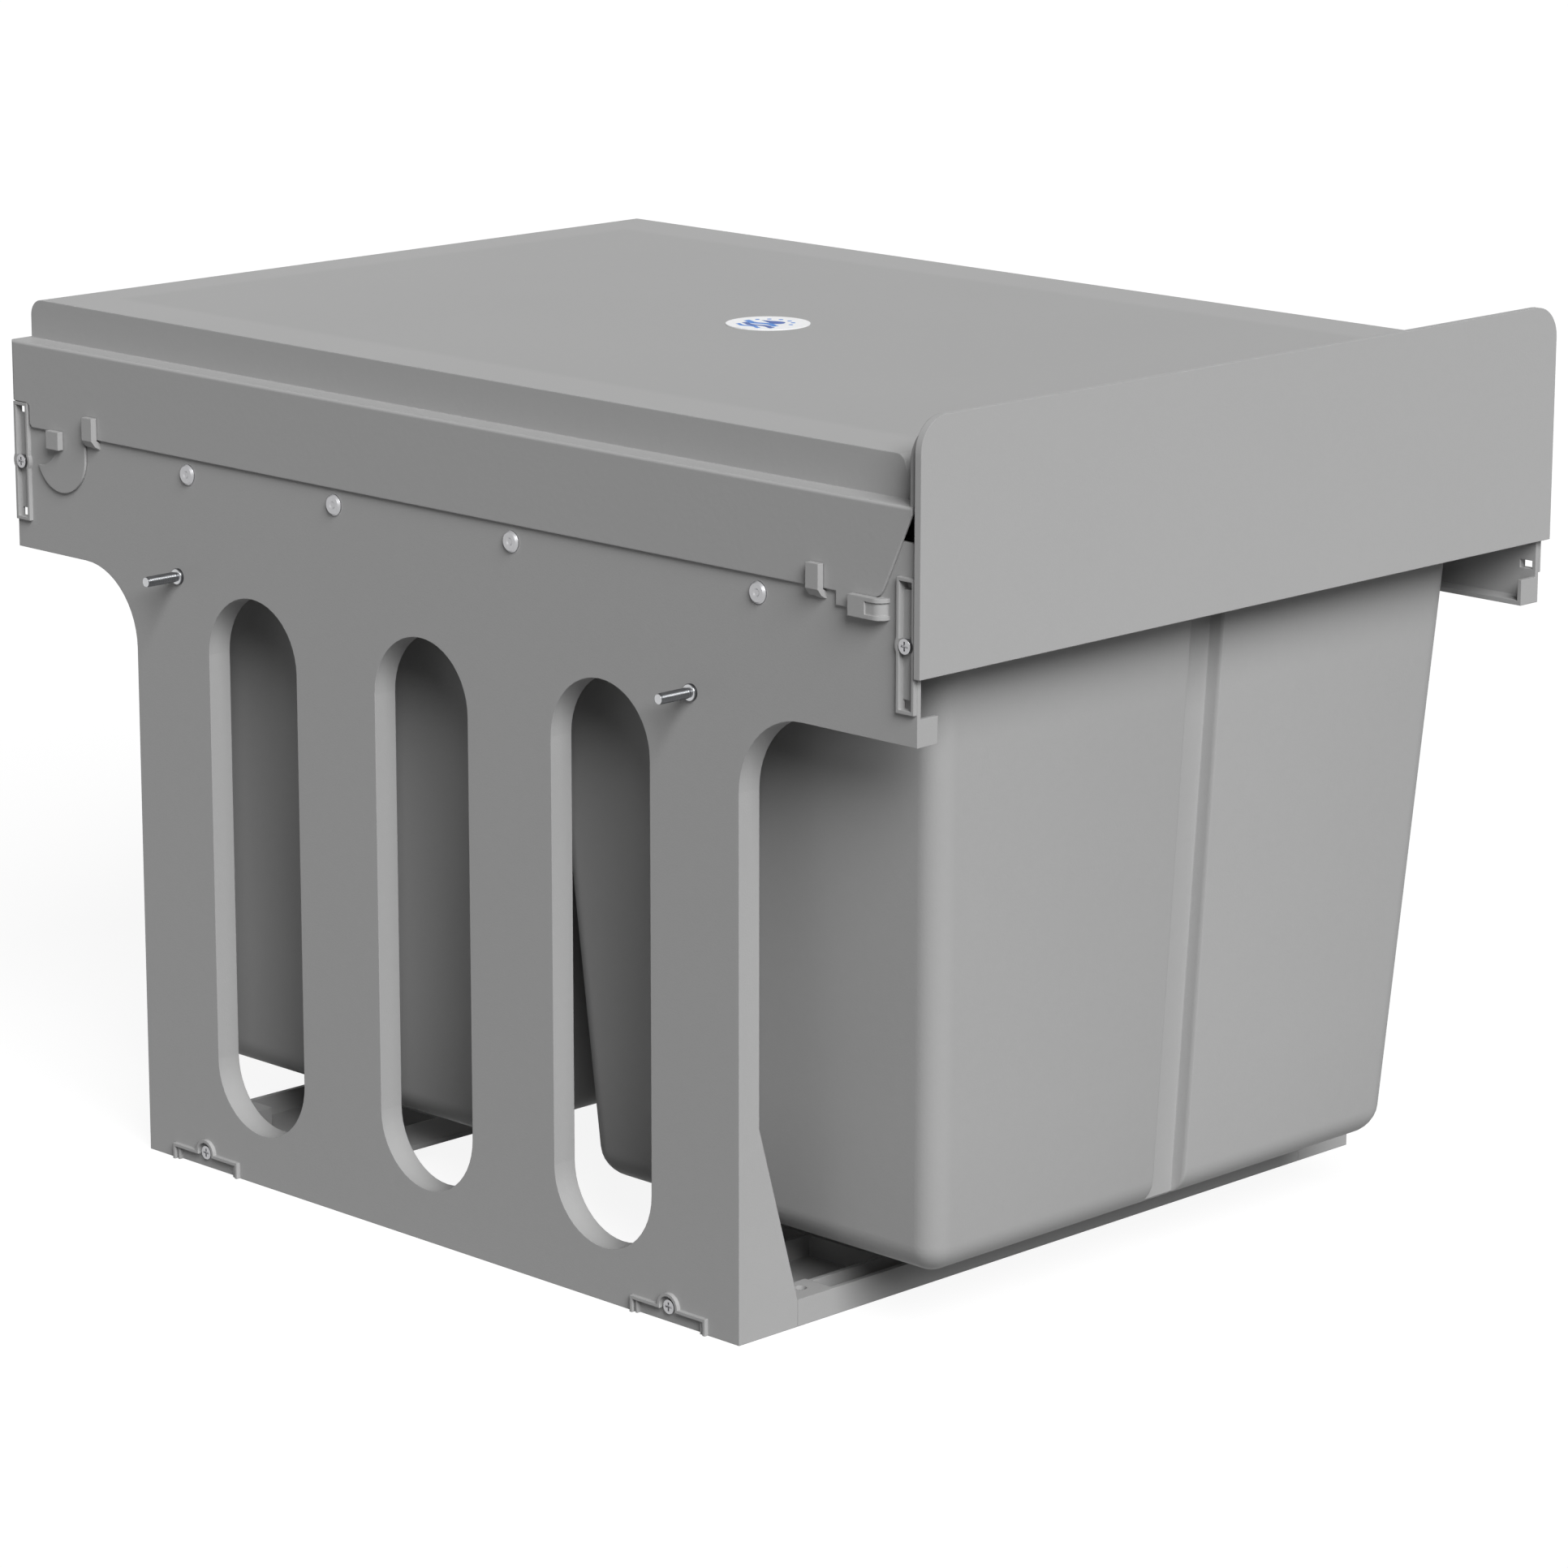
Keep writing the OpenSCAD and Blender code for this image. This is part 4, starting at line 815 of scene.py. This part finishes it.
def dot_outline(cx, cy, radius):
    turns = [math.tau * k / DOT_STEPS for k in range(DOT_STEPS)]
    return [(cx + radius * math.cos(a), cy + radius * math.sin(a)) for a in turns]


def wave_outline(cx, cy, length, swing, width):
    """A band that follows one and a half waves along X."""
    xs = [cx + length * (k / WAVE_STEPS - 0.5) for k in range(WAVE_STEPS + 1)]
    line = [(x, cy + swing * math.sin(3 * math.pi * (x - cx) / length)) for x in xs]
    return [(x, y - width / 2) for x, y in line] + [(x, y + width / 2) for x, y in reversed(line)]


bow_turns = [math.radians(a) for a in range(20, 161, 28)]
pale_shapes = [
    wave_outline(-1.5, -2.2, length=18.0, swing=1.0, width=2.8),
    wave_outline(-1.0, -9.6, length=13.0, swing=0.8, width=1.8),
    *(dot_outline(BOW_R * math.cos(a), BOW_R * math.sin(a), DOT_R) for a in bow_turns),
]
dark_shapes = [
    drop_outline(2.0, 3.0, radius=3.0, length=8.4),
    wave_outline(1.0, -6.2, length=17.0, swing=0.9, width=2.4),
]
print("outlines, pale and dark:", len(pale_shapes), len(dark_shapes))

# %% [markdown]
# ## Two inks on the film
#
# Each outline is filled as one face and given the thickness of a layer of ink. The ink lies flat on
# the film with a gap far too thin to see, so that the two surfaces don't flicker through each other.

# %% Lay the inks on the label
INK, OVER_FILM = 0.04 * MM, 0.005 * MM
label_low, label_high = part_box("round_label")
label_at = Vector(((label_low.x + label_high.x) / 2, (label_low.y + label_high.y) / 2, label_high.z))


def print_piece(title, outlines, ink_coat):
    ink = bmesh.new()
    for outline in outlines:
        base = [ink.verts.new(label_at + Vector((y * MM, -x * MM, OVER_FILM))) for x, y in outline]
        flat_face = ink.faces.new(base)
        raised = bmesh.ops.extrude_face_region(ink, geom=[flat_face])["geom"]
        for vert in (g for g in raised if isinstance(g, bmesh.types.BMVert)):
            vert.co.z += INK
    bmesh.ops.recalc_face_normals(ink, faces=ink.faces)
    bmesh.ops.triangulate(ink, faces=ink.faces)
    mesh = bpy.data.meshes.new(title)
    ink.to_mesh(mesh)
    ink.free()
    mesh.materials.append(ink_coat)
    piece = bpy.data.objects.new(title, mesh)
    bpy.context.scene.collection.objects.link(piece)
    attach(piece, "lid")
    return piece


pale_print = print_piece("label_print_pale", pale_shapes, ink_finish)
dark_print = print_piece("label_print_dark", dark_shapes, dark_ink_finish)
print("label print faces:", len(pale_print.data.polygons) + len(dark_print.data.polygons))

# %% [markdown]
# ## Floor
#
# The photograph is cut out on white. A floor that is lit like the object would come out grey, so
# what the camera sees of it, straight, in metal or through glass, is part pale diffuse surface and
# part its own light. The diffuse part keeps the shadow under the unit, and the light part lifts the
# rest to white. All other rays meet a plain grey floor, so the object gets an honest bounce from
# below. The room uses the same mask for its own white.

# %% Pale floor
WHITE = (1.0, 1.0, 1.0, 1.0)
SEEN_FLOOR_LOW, SEEN_FLOOR_HIGH = 0.14, 0.16
FLOOR_GLOW = 0.9
BOUNCE_GREY = (0.25, 0.25, 0.25, 1.0)
FLOOR_R, FLOOR_DROP = 14.0, 0.02 * MM


def background_rays(tree):
    """One for rays from the camera, off metal and through glass, else zero."""
    path = add_node(tree, "ShaderNodeLightPath").outputs
    camera_or_metal = calculate(tree, "MAXIMUM", path["Is Camera Ray"], path["Is Glossy Ray"])
    return calculate(tree, "MAXIMUM", camera_or_metal, path["Is Transmission Ray"])


def pale_floor():
    material, tree, shader = start_finish("pale floor")
    tree.nodes.remove(shader)
    surface = next(n for n in tree.nodes if n.type == "OUTPUT_MATERIAL")
    clouds = noise(tree, object_place(tree), scale=3.0, detail=5.0)
    pale = in_range(tree, clouds, SEEN_FLOOR_LOW, SEEN_FLOOR_HIGH)
    diffuse = add_node(tree, "ShaderNodeBsdfDiffuse", {"Color": pale}).outputs[0]
    glow = add_node(tree, "ShaderNodeEmission", {"Color": WHITE, "Strength": FLOOR_GLOW}).outputs[0]
    seen_floor = add_node(tree, "ShaderNodeAddShader", {0: diffuse, 1: glow}).outputs[0]
    plain_floor = add_node(tree, "ShaderNodeBsdfDiffuse", {"Color": BOUNCE_GREY}).outputs[0]
    sockets = {0: background_rays(tree), 1: plain_floor, 2: seen_floor}
    chosen = add_node(tree, "ShaderNodeMixShader", sockets)
    tree.links.new(chosen.outputs[0], surface.inputs["Surface"])
    return material


floor_shape = bmesh.new()
bmesh.ops.create_circle(floor_shape, cap_ends=True, segments=96, radius=FLOOR_R)
floor_mesh = bpy.data.meshes.new("studio_floor")
floor_shape.to_mesh(floor_mesh)
floor_shape.free()
floor_mesh.materials.append(pale_floor())
studio_floor = bpy.data.objects.new("studio_floor", floor_mesh)
studio_floor.location.z = -FLOOR_DROP
bpy.context.scene.collection.objects.link(studio_floor)
print("floor radius in m:", FLOOR_R)

# %% [markdown]
# ## Light
#
# In the photograph the lid and the front are equally bright, the left side is darker, and the
# studs throw short shadows back and down on the side panel. So the main light comes from high up
# in front and a little from the left, and an even pale room fills the rest. A sun lamp with a wide
# angle acts like a large soft box far away: it lights the whole floor evenly and its shadows have
# soft edges. The width of 34 degrees is a middle way: a wider lamp lights the bins through the
# slots, and a narrower one draws hard shadows under the front panel.
#
# A weaker lamp stands low behind the right rear corner. It hardly reaches the faces in the
# photograph, but without it the unit would be nearly black from behind. It gives no highlights,
# because it would shine on the flat lid towards the camera. The room's own light is dimmer than
# the white that the camera and mirrors see of it.

# %% Soft light and room
LAMP_AWAY = 3.0  # in metres; the distance of a sun lamp makes no difference to its light
DIM_ROOM, SEEN_ROOM = 0.1, 1.0


def soft_light(title, towards, angle, share):
    """A wide sun lamp that gives a surface facing it this share of a plain white's light."""
    lamp = bpy.data.lights.new(title, "SUN")
    lamp.angle = math.radians(angle)
    lamp.energy = share * math.pi
    holder = bpy.data.objects.new(title, lamp)
    way = Vector(towards).normalized()
    holder.location = way * LAMP_AWAY
    holder.rotation_mode = "QUATERNION"
    holder.rotation_quaternion = way.to_track_quat("Z", "Y")
    bpy.context.scene.collection.objects.link(holder)
    return holder


key = soft_light("front_soft_light", towards=(-0.355, -0.722, 0.590), angle=34.0, share=1.125)
fill = soft_light("rear_fill_light", towards=(0.66, 0.72, 0.07), angle=8.0, share=0.5)
fill.visible_glossy = False

room = bpy.data.worlds.new("pale_room")
bpy.context.scene.world = room
room.use_nodes = True
tree = room.node_tree
tree.nodes.clear()
dim_room = add_node(tree, "ShaderNodeBackground", {"Color": WHITE, "Strength": DIM_ROOM}).outputs[0]
seen_room = add_node(tree, "ShaderNodeBackground", {"Color": WHITE, "Strength": SEEN_ROOM}).outputs[0]
mixed_room = add_node(tree, "ShaderNodeMixShader", {0: background_rays(tree), 1: dim_room, 2: seen_room})
add_node(tree, "ShaderNodeOutputWorld", {"Surface": mixed_room.outputs[0]})
bpy.context.scene.view_settings.view_transform = "Standard"
print("soft light strengths:", round(key.data.energy, 2), round(fill.data.energy, 2))

# %% [markdown]
#
# A last update of the view layer brings every object's place up to date.

# %% Update the view layer
bpy.context.view_layer.update()
